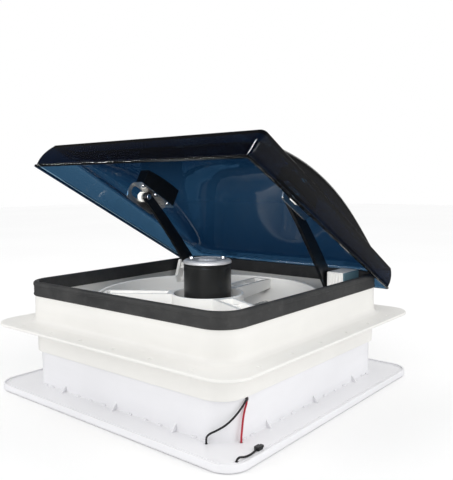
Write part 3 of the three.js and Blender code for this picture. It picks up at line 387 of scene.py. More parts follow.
BLACK_PAINT = "black_paint", painted("black_paint", (0.006, 0.006, 0.0065))
MOTOR_PAINT = "black_paint", painted("motor_paint", (0.005, 0.0053, 0.0053), (0.3, 0.46))
STEEL = "steel", metal("bright_steel", (0.72, 0.72, 0.73), (0.12, 0.3), (1, 14, 1))
SATIN = "steel", metal("satin_steel", (0.46, 0.465, 0.475), (0.34, 0.46), (1, 1, 26), 0.000006, 0.06, 0.45)
PRESSED = "steel", metal("pressed_steel", (0.78, 0.765, 0.745), (0.26, 0.38), (1, 3, 1), 0.000006, 0.08)
ZINC = "steel", metal("zinc_plate", (0.62, 0.64, 0.66), (0.2, 0.38), (1, 1, 1), 0.000015, 0.2)
TURNED = "steel", metal("turned_steel", (0.7, 0.7, 0.71), (0.14, 0.3), (1, 1, 26))
LID_PLASTIC = "smoked_plastic", smoked("smoked_lid_plastic", (0.225, 0.452, 0.585), 1980.0)
FAN_PLASTIC = "fan_plastic", smoked("smoked_fan_plastic", (0.16, 0.27, 0.32), 330.0, (0.16, 0.26), 0.08)
BLACK_LEAD = "black_insulation", rubber(
    "black_insulation", (0.008, 0.008, 0.009), (0.016, 0.016, 0.018), (0.34, 0.5), 0.06)
RED_LEAD = "red_insulation", rubber(
    "red_insulation", (0.42, 0.012, 0.03), (0.55, 0.025, 0.05), (0.32, 0.46), 0.03)


# ---- mesh building

def shown(name, mesh, work):
    """Writes a bmesh into a mesh and puts it in the scene as an object."""
    work.to_mesh(mesh)
    work.free()
    return in_scene(name, mesh)


def new_object(name, points, faces, flat=False):
    """A mesh object from points in millimetres; flat merges the faces that lie in one plane."""
    mesh = bpy.data.meshes.new(name)
    mesh.from_pydata([tuple(MM * c for c in p) for p in points], [], faces)
    work = bmesh.new()
    work.from_mesh(mesh)
    bmesh.ops.remove_doubles(work, verts=work.verts, dist=1e-7)
    bmesh.ops.recalc_face_normals(work, faces=work.faces)
    if flat:
        bmesh.ops.dissolve_limit(work, angle_limit=0.01, verts=work.verts, edges=work.edges)
        bmesh.ops.recalc_face_normals(work, faces=work.faces)
    return shown(name, mesh, work)


def moved(piece, x=0.0, y=0.0, z=0.0, turn=0.0, axis="Z"):
    """Turns a piece about an axis through the origin, then shifts it, in millimetres."""
    piece.data.transform(Matrix.Translation(Vector((x, y, z)) * MM) @ Matrix.Rotation(turn, 4, axis))
    return piece


def mirrored(piece):
    piece.data.transform(Matrix.Scale(-1, 4, (1, 0, 0)))
    piece.data.flip_normals()
    return piece


def joined(name, *pieces):
    """Several pieces of one moulding as one mesh."""
    work = bmesh.new()
    for piece in pieces:
        mesh = piece.data
        work.from_mesh(mesh)
        bpy.data.objects.remove(piece)
        bpy.data.meshes.remove(mesh)
    return shown(name, bpy.data.meshes.new(name), work)


def combined(piece, others, operation):
    """Applies booleans to a piece, and removes the other pieces."""
    for other in others:
        put(piece.modifiers.new("boolean", "BOOLEAN"), operation=operation, solver="EXACT", object=other)
    graph = bpy.context.evaluated_depsgraph_get()
    mesh = bpy.data.meshes.new_from_object(piece.evaluated_get(graph))
    piece.modifiers.clear()
    piece.data = mesh
    for other in others:
        bpy.data.objects.remove(other)
    return piece


def cut(piece, *tools):
    return combined(piece, tools, "DIFFERENCE")


def fused(piece, *others):
    return combined(piece, others, "UNION")


def polar(radius, angle, cx=0.0, cy=0.0):
    return Vector((cx + radius * cos(angle), cy + radius * sin(angle)))


def rounded(x0, x1, y0, y1, radius, corner=8, side=1):
    """Points of a rounded rectangle, counter-clockwise."""
    centres = [(x1 - radius, y1 - radius), (x0 + radius, y1 - radius),
            (x0 + radius, y0 + radius), (x1 - radius, y0 + radius)]
    points = []
    for quarter, (cx, cy) in enumerate(centres):
        points += [polar(radius, (quarter + i / corner) * pi / 2, cx, cy) for i in range(corner + 1)]
        start, end = points[-1], polar(radius, (quarter + 1) * pi / 2, *centres[(quarter + 1) % 4])
        points += [start.lerp(end, i / side) for i in range(1, side)]
    return points


def square(half, radius, corner=8, side=1):
    return rounded(-half, half, -half, half, radius, corner, side)


def circle(radius, sides=48, cx=0.0, cy=0.0):
    return [polar(radius, 2 * pi * i / sides, cx, cy) for i in range(sides)]


def loft(name, loops, closed=True, caps=False):
    """A skin through loops of equal count. closed joins the last loop to the first."""
    count = len(loops[0])
    points = [p for loop in loops for p in loop]
    faces = []
    rows = len(loops) if closed else len(loops) - 1
    for row in range(rows):
        a, b = row * count, ((row + 1) % len(loops)) * count
        faces += [(a + i, a + (i + 1) % count, b + (i + 1) % count, b + i) for i in range(count)]
    if caps:
        faces.append(tuple(reversed(range(count))))
        faces.append(tuple(range((len(loops) - 1) * count, len(loops) * count)))
    return new_object(name, points, faces)


def square_frame(name, profile, corner=10, side=1):
    """A closed profile of (half width, corner radius, height) swept round a rounded square."""
    loops = [[(p.x, p.y, z) for p in square(half, radius, corner, side)] for half, radius, z in profile]
    return loft(name, loops)


def turned(name, profile, sides=64):
    """A solid turned about Z from a (radius, height) profile; points on the axis close it."""
    ring = profile[0][0] > 1e-6
    points, rows = [], []
    for radius, height in profile:
        if radius < 1e-6:
            rows.append([len(points)] * sides)
            points.append((0, 0, height))
        else:
            start = len(points)
            points += [(p.x, p.y, height) for p in circle(radius, sides)]
            rows.append(list(range(start, start + sides)))
    if ring:
        rows.append(rows[0])
    faces = []
    for low, high in zip(rows, rows[1:]):
        for i in range(sides):
            j = (i + 1) % sides
            face = list(dict.fromkeys((low[i], low[j], high[j], high[i])))
            if len(face) > 2:
                faces.append(tuple(face))
    return new_object(name, points, faces)


def plate(name, outline, z0, z1, holes=()):
    """A flat plate with holes, between two heights."""
    loops = [[Vector(p) for p in loop] for loop in (outline, *holes)]
    flat = [p for loop in loops for p in loop]
    count = len(flat)
    triangles = tessellate_polygon([[p.to_3d() for p in loop] for loop in loops])
    points = [(p.x, p.y, z) for z in (z0, z1) for p in flat]
    faces = [tuple(i + up for i in t) for up in (0, count) for t in triangles]
    start = 0
    for loop in loops:
        size = len(loop)
        for i in range(size):
            a, b = start + i, start + (i + 1) % size
            faces.append((a, b, b + count, a + count))
        start += size
    return new_object(name, points, faces, flat=True)


# carries Z to X, X to Y and Y to Z
Z_TO_X = Matrix(((0, 0, 1, 0), (1, 0, 0, 0), (0, 1, 0, 0), (0, 0, 0, 1)))


def side_plate(name, outline, x0, x1, holes=()):
    """A plate whose outline is given as (y, z), between x0 and x1."""
    piece = plate(name, outline, x0, x1, holes)
    piece.data.transform(Z_TO_X)
    return piece


def box(name, x0, y0, z0, x1, y1, z1):
    return plate(name, [(x0, y0), (x1, y0), (x1, y1), (x0, y1)], z0, z1)


def cross_turned(name, profile, y, z, sides=32):
    """A turned solid about an X axis through (y, z); the profile is (radius, x)."""
    piece = turned(name, profile, sides)
    piece.data.transform(Matrix.Translation((0, y * MM, z * MM)) @ Z_TO_X)
    return piece


def offset(first, second, steps):
    """A stretch of a profile, written as steps from one point."""
    return [(first + a, second + b) for a, b in steps]


def bar(radius, start, end):
    """The profile of a plain round bar."""
    return [(0, start), (radius, start), (radius, end), (0, end)]


def with_corners(shape, half, corner):
    """Adds the corner radius to (half width, height) points; it is corner at half."""
    return [(h, corner + h - half, z) for h, z in shape]


def softened(points, radius, steps=4):
    """A polygon's corners rounded off."""
    out = []
    count = len(points)
    for i, point in enumerate(points):
        here = Vector(point)
        before = Vector(points[i - 1]) - here
        after = Vector(points[(i + 1) % count]) - here
        reach = min(radius, before.length / 2.2, after.length / 2.2)
        start, end = here + before.normalized() * reach, here + after.normalized() * reach
        for k in range(steps + 1):
            t = k / steps
            out.append(start * (1 - t) ** 2 + here * 2 * t * (1 - t) + end * t ** 2)
    return out


def soft_edges(piece, bevel, segments, angle):
    """Small rounded edges."""
    return put(piece.modifiers.new("edges", "BEVEL"), width=bevel * MM, segments=segments,
            limit_method="ANGLE", angle_limit=radians(angle))


def settle(piece, finish, nodes=(), bevel=0.4, segments=2, angle=32, body="base"):
    """Finishes a piece: edges, smooth shading over the flats, material, and the body it rides on."""
    slot, material = finish
    piece.data.materials.clear()
    piece.data.materials.append(material)
    for face in piece.data.polygons:
        face.use_smooth = True
    if bevel:
        soft_edges(piece, bevel, segments, angle).harden_normals = True
    piece.modifiers.new("shading", "WEIGHTED_NORMAL").keep_sharp = True
    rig.ride(piece, body)
    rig.slot(piece, slot)
    if nodes:
        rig.replaces(piece, *nodes)
    return piece


def swung_open(piece):
    """Carries a piece drawn in the shut lid's place to the open lid's place."""
    at = Matrix.Translation(HINGE * MM)
    piece.data.transform(at @ Matrix.Rotation(-LID_OPEN, 4, "X") @ at.inverted())
    return piece


def keep_node(name, finish, bevel):
    """A CAD node that is shown as it is, with fine edges and its own material."""
    node = frame["nodes"][name]
    node.data.materials.clear()
    node.data.materials.append(finish[1])
    node.modifiers.new("weld", "WELD").merge_threshold = 2e-6
    soft_edges(node, bevel, 2, 35)


# ---- leads

LEAD_RADIUS = 1.1
PLATE_TOP = 8.0
LEAD_REST = PLATE_TOP + LEAD_RADIUS + 0.3
BLACK_ROUTE = [
    (148, -175.4, PLATE_TOP - 1.6), (148.2, -175.6, 14), (152.5, -176.3, 19.5), (160, -172.6, 24.5),
    (167, -167, 30), (172, -159.5, 37), (174.2, -150, 44.5), (174.3, -143, 49.6), (172.9, -137.6, 51.2),
    (169.6, -135.2, 51.2)]
RED_ROUTE = [
    (174.4, -150, PLATE_TOP - 1.6), (174.5, -149.8, 14), (174.4, -148.4, 22), (174.2, -146.4, 32),
    (173.8, -143, 41), (173.2, -139.2, 46.4), (171.8, -137, 48.6), (169.6, -136, 48.8)]
SHORT_ROUTE = [
    (198, -188, PLATE_TOP - 1.6), (198, -187.6, LEAD_REST), (198.5, -184.5, LEAD_REST + 1.6),
    (200, -178, LEAD_REST + 0.4), (201, -171, LEAD_REST), (200.2, -163, LEAD_REST),
    (199, -157.2, LEAD_REST)]


def catmull(points, per_span=8):
    """A centripetal curve through the points."""
    pts = [Vector(p) for p in points]
    pts = [pts[0] * 2 - pts[1], *pts, pts[-1] * 2 - pts[-2]]
    line = []
    for i in range(1, len(pts) - 2):
        p0, p1, p2, p3 = pts[i - 1:i + 3]
        d0, d1, d2 = (sqrt((b - a).length) for a, b in ((p0, p1), (p1, p2), (p2, p3)))
        m1 = ((p1 - p0) / d0 - (p2 - p0) / (d0 + d1) + (p2 - p1) / d1) * d1
        m2 = ((p2 - p1) / d1 - (p3 - p1) / (d1 + d2) + (p3 - p2) / d2) * d1
        for k in range(per_span):
            t = k / per_span
            line.append(p1 + m1 * t + (3 * (p2 - p1) - 2 * m1 - m2) * t ** 2
                    + (2 * (p1 - p2) + m1 + m2) * t ** 3)
    line.append(pts[-2])
    return line


def lead(name, route, finish, node):
    """A round insulated lead as a mesh tube, with its path and length."""
    path = catmull(route)
    length = sum((b - a).length for a, b in zip(path, path[1:]))
    loops = []
    side = Vector((1, 0, 0))
    for i, here in enumerate(path):
        along = (path[min(i + 1, len(path) - 1)] - path[max(i - 1, 0)]).normalized()
        side = (side - along * side.dot(along)).normalized()
        up = along.cross(side)
        loops.append([here + (side * cos(a) + up * sin(a)) * LEAD_RADIUS
                for a in (2 * pi * k / 16 for k in range(16))])
    piece = loft(name, loops, closed=False, caps=True)
    settle(piece, finish, [node], 0)
    return piece, [p * MM for p in path], length * MM


def add_leads():
    body = box("plug_body", 196, -156.9, PLATE_TOP + 0.3, 202, -149.5, PLATE_TOP + 4.3)
    nose = box("plug_nose", 197, -150, PLATE_TOP + 0.9, 201, -146.4, PLATE_TOP + 3.7)
    latch = box("plug_latch", 198.2, -155.5, PLATE_TOP + 4, 199.8, -148.6, PLATE_TOP + 4.3)
    plug = settle(fused(body, nose, latch), BLACK_PLASTIC, ["lead_connector"], 0.3)
    plug.name = "lead_plug"
    jobs = [
        ("lead_black", BLACK_ROUTE, BLACK_LEAD, "black_lead", "object", []),
        ("lead_red", RED_ROUTE, RED_LEAD, "red_lead", "object", []),
        ("lead_short", SHORT_ROUTE, BLACK_LEAD, "connector_lead", "connector", [plug]),
    ]
    for name, route, finish, node, end, extras in jobs:
        piece, path, length = lead(name, route, finish, node)
        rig.cord(piece, exit=path[0], length=round(length, 4), diameter=2 * LEAD_RADIUS * MM, far_end=end,
                stiffness="limp", lay="loose", path=path, with_pieces=extras)


add_leads()


# ---- roof base and seal

FLANGE_BOTTOM, FLANGE_TOP = 90.4, 94.2
THROAT, BORE = 175.0, 172.5
THROAT_CORNER = 31.0
COLLAR_ROOT, COLLAR_TIP = 177.2, 176.2
FILLET = 9.0
FLANGE_CORNER = 33.0
SINK_PLACES = (-150, -90, -30, 30, 90, 150)


def fillet_arc(half, z, radius, steps=6):
    """Points of the concave fillet between the flange's top face and the collar."""
    angles = [radians(270 - 90 * i / steps) for i in range(steps + 1)]
    return [polar(radius, a, half + radius, z + radius) for a in angles]


def add_roof_base():
    edge, top = BASE_HIGH.x, BASE_HIGH.z
    throat = [(BORE, BASE_LOW.z), (THROAT, BASE_LOW.z), *offset(THROAT, FLANGE_BOTTOM, [(0, -2), (2, 0)])]
    flange = offset(edge, FLANGE_BOTTOM, [(-1, 0), (0, 1)])
    flange += offset(edge, FLANGE_TOP, [(0, -0.9), (-0.9, 0)])
    collar = fillet_arc(COLLAR_ROOT, FLANGE_TOP, FILLET)
    collar += offset(COLLAR_TIP, top, [(0, -0.6), (-0.6, 0), (-3, 0)])
    collar += offset(BORE, SHEET_TOP, [(0, 2), (0, -3.3), (-4, -3.3), (-4, -5.5), (0, -9)])
    profile = with_corners(throat, THROAT, THROAT_CORNER) + with_corners(flange, edge, FLANGE_CORNER)
    base = square_frame("roof_base_moulding", profile + with_corners(collar, THROAT, THROAT_CORNER), 16)
    # countersunk screw places round the flange
    sinks = []
    for turn in QUARTERS:
        for along in SINK_PLACES:
            sink = turned("sink", offset(0, FLANGE_TOP, [(0, -1.1), (1.6, -1.1), (3.3, 0.5), (0, 0.5)]), 24)
            sinks.append(moved(moved(sink, x=along, y=-198), turn=turn))
    cut(base, joined("sinks", *sinks))
    settle(base, WARM_WHITE, ["roof_base"], 0.35)


def add_seal():
    half, inner = SEAL_HIGH.x, 170.4
    low, top, bed = SEAL_LOW.z, SEAL_HIGH.z, BASE_HIGH.z + 0.3
    wall_in, wall_out = COLLAR_TIP - 3.4, COLLAR_TIP + 0.5
    shape = [
        (wall_out + 0.3, low), *offset(half, low, [(-0.7, 0), (0, 0.9), (0, 2.2), (-0.6, 3.0)]),
        *offset(half, top, [(-0.7, -6.2), (0, -5.4), (0, -3.0), (-0.6, -1.4), (-2.0, -0.4), (-3.6, 0)]),
        *offset(inner, top, [(2.6, 0), (1.0, -0.6), (0, -2.2)]),
        *offset(inner, low, [(0.5, 5), (0, 1.6), (0.5, 0)]),
        (wall_in - 0.5, low), (wall_in, bed), (wall_out, bed),
    ]
    seal = square_frame("rim_seal_rubber", with_corners(shape, half, FLANGE_CORNER), 16, 2)
    settle(seal, RUBBER, ["rim_seal"], 0.25, angle=40)


add_roof_base()
add_seal()


# ---- ceiling trim

RECESS, RECESS_CORNER = 158.0, 20.0
LIGHT_CENTRE, LIGHT_HALF, LIGHT_REACH = 183.5, 13.0, 145.0
TRIM_CORNER = 28.0
TRIM_SKIN = 2.0
RIM_TOP = 9.7
# (growth, height) of a light strip's loops
LIGHT_DOME = ((-0.3, 3.6), (-0.3, 1.6), (-0.5, 0.9), (-1.2, 0.5), (-2.6, 0.35), (-6.0, 0.25))
RIB_PLACES = (-100, 0, 100)
TAB_PLACES = (-142, -128, -72, -48, -22, 26, 52, 76, 128, 142)
SCREW_PLACES = ((-144, -144), (-144, 144), (84, -149), (84, 149))
PAD = ((146, 146), (92, 146), (89, 140), (140, 89), (146, 92))
PAD_BORDER = ((142, 143), (98, 143), (93.5, 139.5), (139.5, 93.5), (143, 98))
PAD_FIELD = ((140.5, 141.5), (99, 141.5), (96, 139), (139, 96), (141.5, 99))
KEY_PLACES = ((137, -137), (124, -137), (137, -124), (111, -137), (137, -111))


def light_outline(grow):
    half, reach = LIGHT_HALF + grow, LIGHT_REACH + grow
    return rounded(-reach, reach, -LIGHT_CENTRE - half, -LIGHT_CENTRE + half, 10 + grow, 8)


def add_bezel():
    edge, ledge = TRIM_HIGH.x, PANEL_LOW.z + 2.7
    outer = [*offset(edge, RIM_TOP, [(-2.4, 0), (-0.5, 0), (0, -0.5)]),
            *offset(edge, 0, [(0, 3.2), (-0.5, 1.6), (-1.6, 0.5), (-3.4, 0)])]
    inner = [*offset(RECESS, 0, [(2.2, 0), (0.7, 0.5), (0, 1.8)]),
            *offset(RECESS, ledge, [(-1.6, 0), (-6, 0), (-6, 2), (0.4, 2)]), (RECESS + 2.0, TRIM_SKIN)]
    inside = [(edge - 4, TRIM_SKIN), (edge - 2.4, 3.4)]
    profile = with_corners(outer, edge, TRIM_CORNER) + with_corners(inner, RECESS, RECESS_CORNER)
    bezel = square_frame("ceiling_bezel", profile + with_corners(inside, edge, TRIM_CORNER), 14)
    cut(bezel, *[moved(plate("window", light_outline(0), -1, 3), turn=turn) for turn in QUARTERS])
    settle(bezel, COOL_WHITE, ["trim_bezel"], 0.35)
    for i, turn in enumerate(QUARTERS):
        loops = [[(p.x, p.y, z) for p in light_outline(grow)] for grow, z in LIGHT_DOME]
        strip = moved(loft(f"light_strip_{i + 1}", loops, closed=False, caps=True), turn=turn)
        settle(strip, DIFFUSER, [f"led_diffuser_{i + 1}"], 0)
        keep_node(f"led_board_{i + 1}", BOARD, 0.2)


def add_ceiling_frame():
    """The trim's back frame: a plate, and the square wall with its ribs and tabs."""
    outer, wall, inner = WALL_HIGH.x, 171.5, 169.3
    low, top, crest = WALL_LOW.z, PLATE_TOP, WALL_HIGH.z
    groove = [(0, -0.3), (-0.3, 0), (-3.2, 0), (-3.6, -0.7), (-4.4, -0.7), (-4.8, 0)]
    rim = [(outer, low), *offset(outer, top, groove)]
    upright = offset(wall, top, [(2.6, 0), (0.8, 0.7), (0, 2.6)])
    upright += [(wall, crest - 0.5), (wall - 0.5, crest), (inner, crest)]
    profile = with_corners([(inner, low)], wall, 30) + with_corners(rim, outer, TRIM_CORNER - 2.7)
    panel = square_frame("ceiling_frame", profile + with_corners(upright, wall, 30), 14)
    tools = [cross_turned("entry", bar(3.2, inner - 3, wall + 3), -136, 50, 20)]
    for route in (BLACK_ROUTE, RED_ROUTE, SHORT_ROUTE):
        tools.append(moved(turned("hole", bar(2, low - 2, top + 6), 20), *route[0][:2]))
    cut(panel, joined("lead_holes", *tools))
    settle(panel, COOL_WHITE, ["trim_frame"], 0.25)
    ribs = []
    shape = offset(-wall, top, [(0.2, -0.4), (-7, -0.4), (-7, 0.6), (0.2, 9)])
    for turn in QUARTERS:
        for x in RIB_PLACES:
            ribs.append(moved(side_plate("rib", shape, x - 1.2, x + 1.2), turn=turn))
        for x in TAB_PLACES:
            tab = box("tab", x - 3.4, -wall - 2.4, top - 0.4, x + 3.4, -wall - 0.4, top + 1.9)
            ribs.append(moved(tab, turn=turn))
    settle(joined("frame_ribs", *ribs), COOL_WHITE, (), 0.3)


def add_panel():
    """The square air panel with its round mouth and four screws."""
    low, lip_top, mouth = PANEL_LOW.z, PANEL_HIGH.z, 146.0
    holes = [circle(mouth + 1.4, 96), *[circle(2.2, 20, x, y) for x, y in SCREW_PLACES]]
    sheet = plate("air_panel", square(PANEL_HIGH.x, RECESS_CORNER - 2, 12), low, low + 2.4, holes)
    bead = [(0, 1.4), (0.4, 0.2), (1.4, -0.25), (3.2, -0.25), (4.2, 0.2), (4.4, 0.8), (2.6, 0.8)]
    lip = turned("lip", [
        (mouth + 2.5, low + 0.4), (mouth + 2.5, lip_top), (mouth, lip_top), *offset(mouth, low, bead)], 96)
    settle(fused(sheet, lip), COOL_WHITE, ["inner_panel"], 0.25)
    for i, (x, y) in enumerate(SCREW_PLACES):
        screw = moved(pan_screw(f"panel_screw_head_{i + 1}", 3.4, 2.0, 7.5, 1.6), turn=pi, axis="X")
        settle(moved(screw, x, y, low - 0.3), ZINC, [f"panel_screw_{i + 1}"], 0.15)


def add_pads():
    """The bordered touch pad, and in the next corner a pad with five blank keys."""
    low, high = (corner.z for corner in span("touch_pad"))
    shape = softened(PAD, 3)
    border = plate("border", softened(PAD_BORDER, 3), low - 1, low + 0.35, [softened(PAD_FIELD, 2)])
    pad = cut(plate("touch_pad_face", shape, low, high), border)
    settle(pad, PAD_FILM, ["touch_pad"], 0.12)
    key = offset(0, low, [(0, 0.4), (3.6, 0.4), (3.6, 0.1), (3.0, -0.15), (0, -0.15)])
    keys = [moved(turned("key", key, 24), x, y) for x, y in KEY_PLACES]
    face = plate("face", [(p.x, -p.y) for p in reversed(shape)], low, high)
    settle(joined("key_pad_face", face, *keys), COOL_WHITE, (), 0.12)


def pan_screw(name, radius, height, shank, shank_radius):
    """A pan-head screw with a cross recess, head up, its seat at z = 0."""
    head = turned(name, [
        (0, -shank - 1.2), (shank_radius, -shank), (shank_radius, 0.0), (radius, 0.0),
        (radius * 0.97, height * 0.36), (radius * 0.8, height * 0.72), (radius * 0.45, height * 0.96),
        (0, height)], 32)
    arm, low = radius * 0.52, height * 0.45
    return cut(head, *[box("slot", -a, -b, low, a, b, height + 1) for a, b in ((arm, 0.35), (0.35, arm))])


add_bezel()
add_ceiling_frame()
add_panel()
add_pads()


# ---- shroud, mount, motor and fan

ARM_ANGLES = (95, 215, 335)
ARM_WIDTH = 30.0
DUCT = 150.0
CUP, CUP_BORE, CUP_FLOOR = 50.5, 47.0, 3.4
# the x and y range where a shut lift arm lies
NOTCH, NOTCH_FLOOR = (124.2, 131.8, 60, 98), 118.4
# how much taller the motor's bright band is than the CAD's cap
BAND_DROP = 1.7
HUB, BLADES, BLADE_ROOT, BLADE_TIP = 60.0, 10, 58.0, 140.4


def add_shroud():
    """The plate inside the collar and the round duct through it, notched for the lift arms."""
    sheet = plate("fan_plate", square(SHROUD_HIGH.x, THROAT_CORNER - 3, 12), SHEET_TOP - 3, SHEET_TOP,
            [circle(DUCT + 1.3, 96)])
    lip = [(2.5, -4.2), (3.0, -3.0), (4.2, -2.5), (4.5, -1.6), (4.0, -0.5), (3.0, 0), (1.4, 0), (0.3, -0.6)]
    duct = turned("duct", [
        (DUCT, SHROUD_LOW.z), (DUCT + 2.5, SHROUD_LOW.z), (DUCT + 2.5, SHEET_TOP - 1),
        *offset(DUCT, DUCT_TOP, lip), (DUCT, DUCT_TOP - 1.8)], 128)
    shroud = fused(sheet, duct)
    for side in (-1, 1):
        notch = plate("notch", rounded(*NOTCH, 1.5, 4), NOTCH_FLOOR, DUCT_TOP + 2)
        cut(shroud, notch if side > 0 else mirrored(notch))
    settle(shroud, WARM_WHITE, ["fan_shroud", "duct_ring"])


def add_mount():
    """The motor's cup on three channelled arms that run out to the duct's wall."""
    low, rim = MOUNT_LOW.z, MOUNT_HIGH.z
    floor, half = low + CUP_FLOOR, ARM_WIDTH / 2
    tip = sqrt((DUCT - 0.9) ** 2 - half ** 2)
    cup = turned("motor_mount_arms", [
        (7, low), (CUP - 2, low), (CUP, low + 2), (CUP, rim - 0.8), (CUP - 0.8, rim), (CUP_BORE + 0.8, rim),
        (CUP_BORE, rim - 0.8), (CUP_BORE, floor + 2), (CUP_BORE - 2, floor), (7, floor)], 96)
    arms = []
    for degrees in ARM_ANGLES:
        root = CUP_BORE + 1.5
        arm = side_plate("arm", [(root, 107), (tip, 111.5), (tip, rim), (root, rim)], -half, half)
        cut(arm, side_plate("groove", [(CUP + 6, 117), (143, 119), (143, 130), (CUP + 6, 130)], -10, 10))
        ribs = [side_plate("rib", [(y, 112), (y + 2, 112), (y + 2, 123.5), (y, 123.5)], -10.5, 10.5)
                for y in (80, 110)]
        web = side_plate("web", [(CUP + 5, 114), (143.5, 114), (143.5, 122), (CUP + 5, 122)], -1, 1)
        arms.append(moved(fused(arm, *ribs, web), turn=radians(degrees) - pi / 2))
    core = turned("core", [
        (0, floor), (CUP_BORE - 2, floor), (CUP_BORE, floor + 2), (CUP_BORE, rim + 9), (0, rim + 9)], 96)
    mount = fused(cup, *arms)
    cut(mount, core)
    settle(mount, WARM_WHITE, ["motor_mount"])


def add_motor():
    radius, low, top = MOTOR_HIGH.x, MOTOR_LOW.z, MOTOR_HIGH.z - BAND_DROP
    foot = [(-3, 0), (-0.6, 1), (0, 3), (0, 8.6), (-0.35, 9), (-0.35, 9.8), (0, 10.2)]
    head = [(0, -4.6), (-0.3, -4.2), (-0.3, -3.2), (0, -2.8), (0, -0.4), (-0.4, 0)]
    can = turned("motor_body", [
        (0, low), *offset(radius, low, foot), *offset(radius, top, head), (0, top)], 96)
    settle(can, MOTOR_PAINT, ["motor_can"], 0.12)
    edge, base, cap = CAP_HIGH.x, CAP_LOW.z - BAND_DROP, CAP_HIGH.z
    band = [(0, 0), (0, 2.9), (-0.4, 3.4), (-1.4, 3.8), (-2.8, 4.9), (-6, 4.9), (-6.8, 4.2)]
    lid = turned("motor_end_plate", [
        (0, base), *offset(edge, base, band), (14.2, base + 4.2), (13.4, base + 5.0), (12, base + 5.0),
        (10.6, cap - 0.4), (9.6, cap), (0, cap)], 96)
    settle(lid, SATIN, ["motor_end_cap"], 0.15)
    for i in (1, 2):
        lo, hi = span(f"motor_bolt_{i}")
        centre = (lo + hi) / 2
        height = hi.z - lo.z
        stud = turned(f"motor_stud_{i}", [
            (0, 0), (4.6, 0), (4.6, 0.7), (4.2, 1.0), (3.3, 1.0), (3.4, 1.4), (3.3, height * 0.62),
            (2.6, height * 0.84), (1.4, height * 0.96), (0, height)], 32)
        settle(moved(stud, centre.x, centre.y, lo.z), STEEL, [f"motor_bolt_{i}"], 0)


def blade(name, turn):
    """A fan blade: a cambered, twisted aerofoil from the hub to the tip circle."""
    stations, around = 12, 9
    loops = []
    for i in range(stations + 1):
        t = i / stations
        radius = BLADE_ROOT + (BLADE_TIP - BLADE_ROOT) * t
        pitch = radians(42 - 18 * t)
        half = 16 + 9 * t - (2.4 * max(0, t - 0.85) / 0.15)
        middle = 82 + 2 * t
        upper, lower = [], []
        for k in range(around + 1):
            along = -1 + 2 * k / around
            camber = 1.6 * (1 - along ** 2) - 1.0
            thick = 0.35 + 0.85 * sqrt(max(0, 1 - along ** 2)) * (1 - 0.35 * t)
            for side, over in ((upper, camber + thick), (lower, camber - thick)):
                swing = along * half * cos(pitch) - over * sin(pitch)
                rise = along * half * sin(pitch) + over * cos(pitch)
                angle = turn + 0.16 * t + swing / radius
                side.append((radius * cos(angle), radius * sin(angle), middle + rise))
        loops.append(upper + lower[::-1])
    return loft(name, loops, closed=False, caps=True)


def add_fan():
    low, top = 68.0, 97.0
    dish = turned("fan_rotor", [
        *offset(0, low, [(4.3, 0), (9, 0), (9.6, 0.6), (20, 0.6), (20.6, 0)]),
        *offset(HUB, low, [(-7, 0), (-2.4, 1.6), (-0.5, 4.6), (0, 8)]), (HUB, top), (HUB - 2.5, top),
        *offset(HUB, low, [(-2.5, 8), (-3.4, 5), (-8, 2.5)]),
        *offset(0, low, [(10, 2.5), (9.3, 16), (4.3, 16)])], 96)
    blades = [blade("blade", 2 * pi * i / BLADES) for i in range(BLADES)]
    rotor = fused(dish, joined("blades", *blades))
    settle(rotor, FAN_PLASTIC, ["fan_impeller"], 0, body="fan")
    lo, hi = span("fan_shaft")
    radius = hi.x
    shaft = turned("fan_axle", [
        (0, lo.z), (radius - 0.8, lo.z), (radius, lo.z + 0.8), (radius, hi.z), (0, hi.z)], 32)
    settle(shaft, TURNED, ["fan_shaft"], 0, body="fan")
    lo, hi = span("fan_nut")
    nut = plate("fan_lock_nut", circle(7, 6), lo.z, hi.z, [circle(4.3, 24)])
    settle(nut, ZINC, ["fan_nut"], 0.5, 3, body="fan")


add_shroud()
add_mount()
add_motor()
add_fan()


# ---- lid

LID_HALF, LID_BACK = 183.4, 181.9
LID_FRONT_TOP, LID_FRONT_LIP = -183.6, -194.3
LID_TOP, LID_SKIN, SKIRT_SKIN = 152.39, 2.35, 1.65
LID_EDGE = LID_TOP - 2.2
LIP_BACK_Z, LIP_FRONT_Z = 121.3, 111.4
LIP_CORNER, TOP_CORNER = 4.0, 7.0
SWELL = 2.85
# outward bead and height of each loop of the lip
LIP_EDGE = ((1.9, 0), (2.4, 0.5), (2.4, 1.6), (2.0, 2.3), (0.2, 3.0), (0, 4.2))
CROWN_X, CROWN_Y, CROWN_HEIGHT = 174.0, 163.0, 40.0
CROWN_SCALES = (1, 0.995, 0.985, 0.97, 0.95, 0.92, 0.88, 0.82, 0.74, 0.64, 0.53, 0.41, 0.28, 0.15, 0.04)


def lip_height(y):
    t = (LID_BACK - y) / (LID_BACK - LID_FRONT_LIP)
    return LIP_BACK_Z + (LIP_FRONT_Z - LIP_BACK_Z) * t


def lid_loop(front, back, half, radius, height):
    return [(p.x, p.y, height(p.x, p.y)) for p in rounded(-half, half, front, back, radius, 10, 28)]


def lip_loop(bead, rise):
    return lid_loop(LID_FRONT_LIP - bead, LID_BACK, LID_HALF + bead, LIP_CORNER,
            lambda x, y: lip_height(y) + rise)


def skirt_loops(inset, shares):
    """Loops up the skirt, which swells outwards between the lip and the plate's edge."""
    loops = []
    for share in shares:
        swell = SWELL * 4 * share * (1 - share) - inset
        front = LID_FRONT_LIP + (LID_FRONT_TOP - LID_FRONT_LIP) * share
        radius = LIP_CORNER + (TOP_CORNER - LIP_CORNER) * share - inset
        loops.append(lid_loop(front - swell, LID_BACK - inset, LID_HALF + swell, radius,
                lambda x, y, up=share: lip_height(y) + (LID_EDGE - lip_height(y)) * up))
    return loops


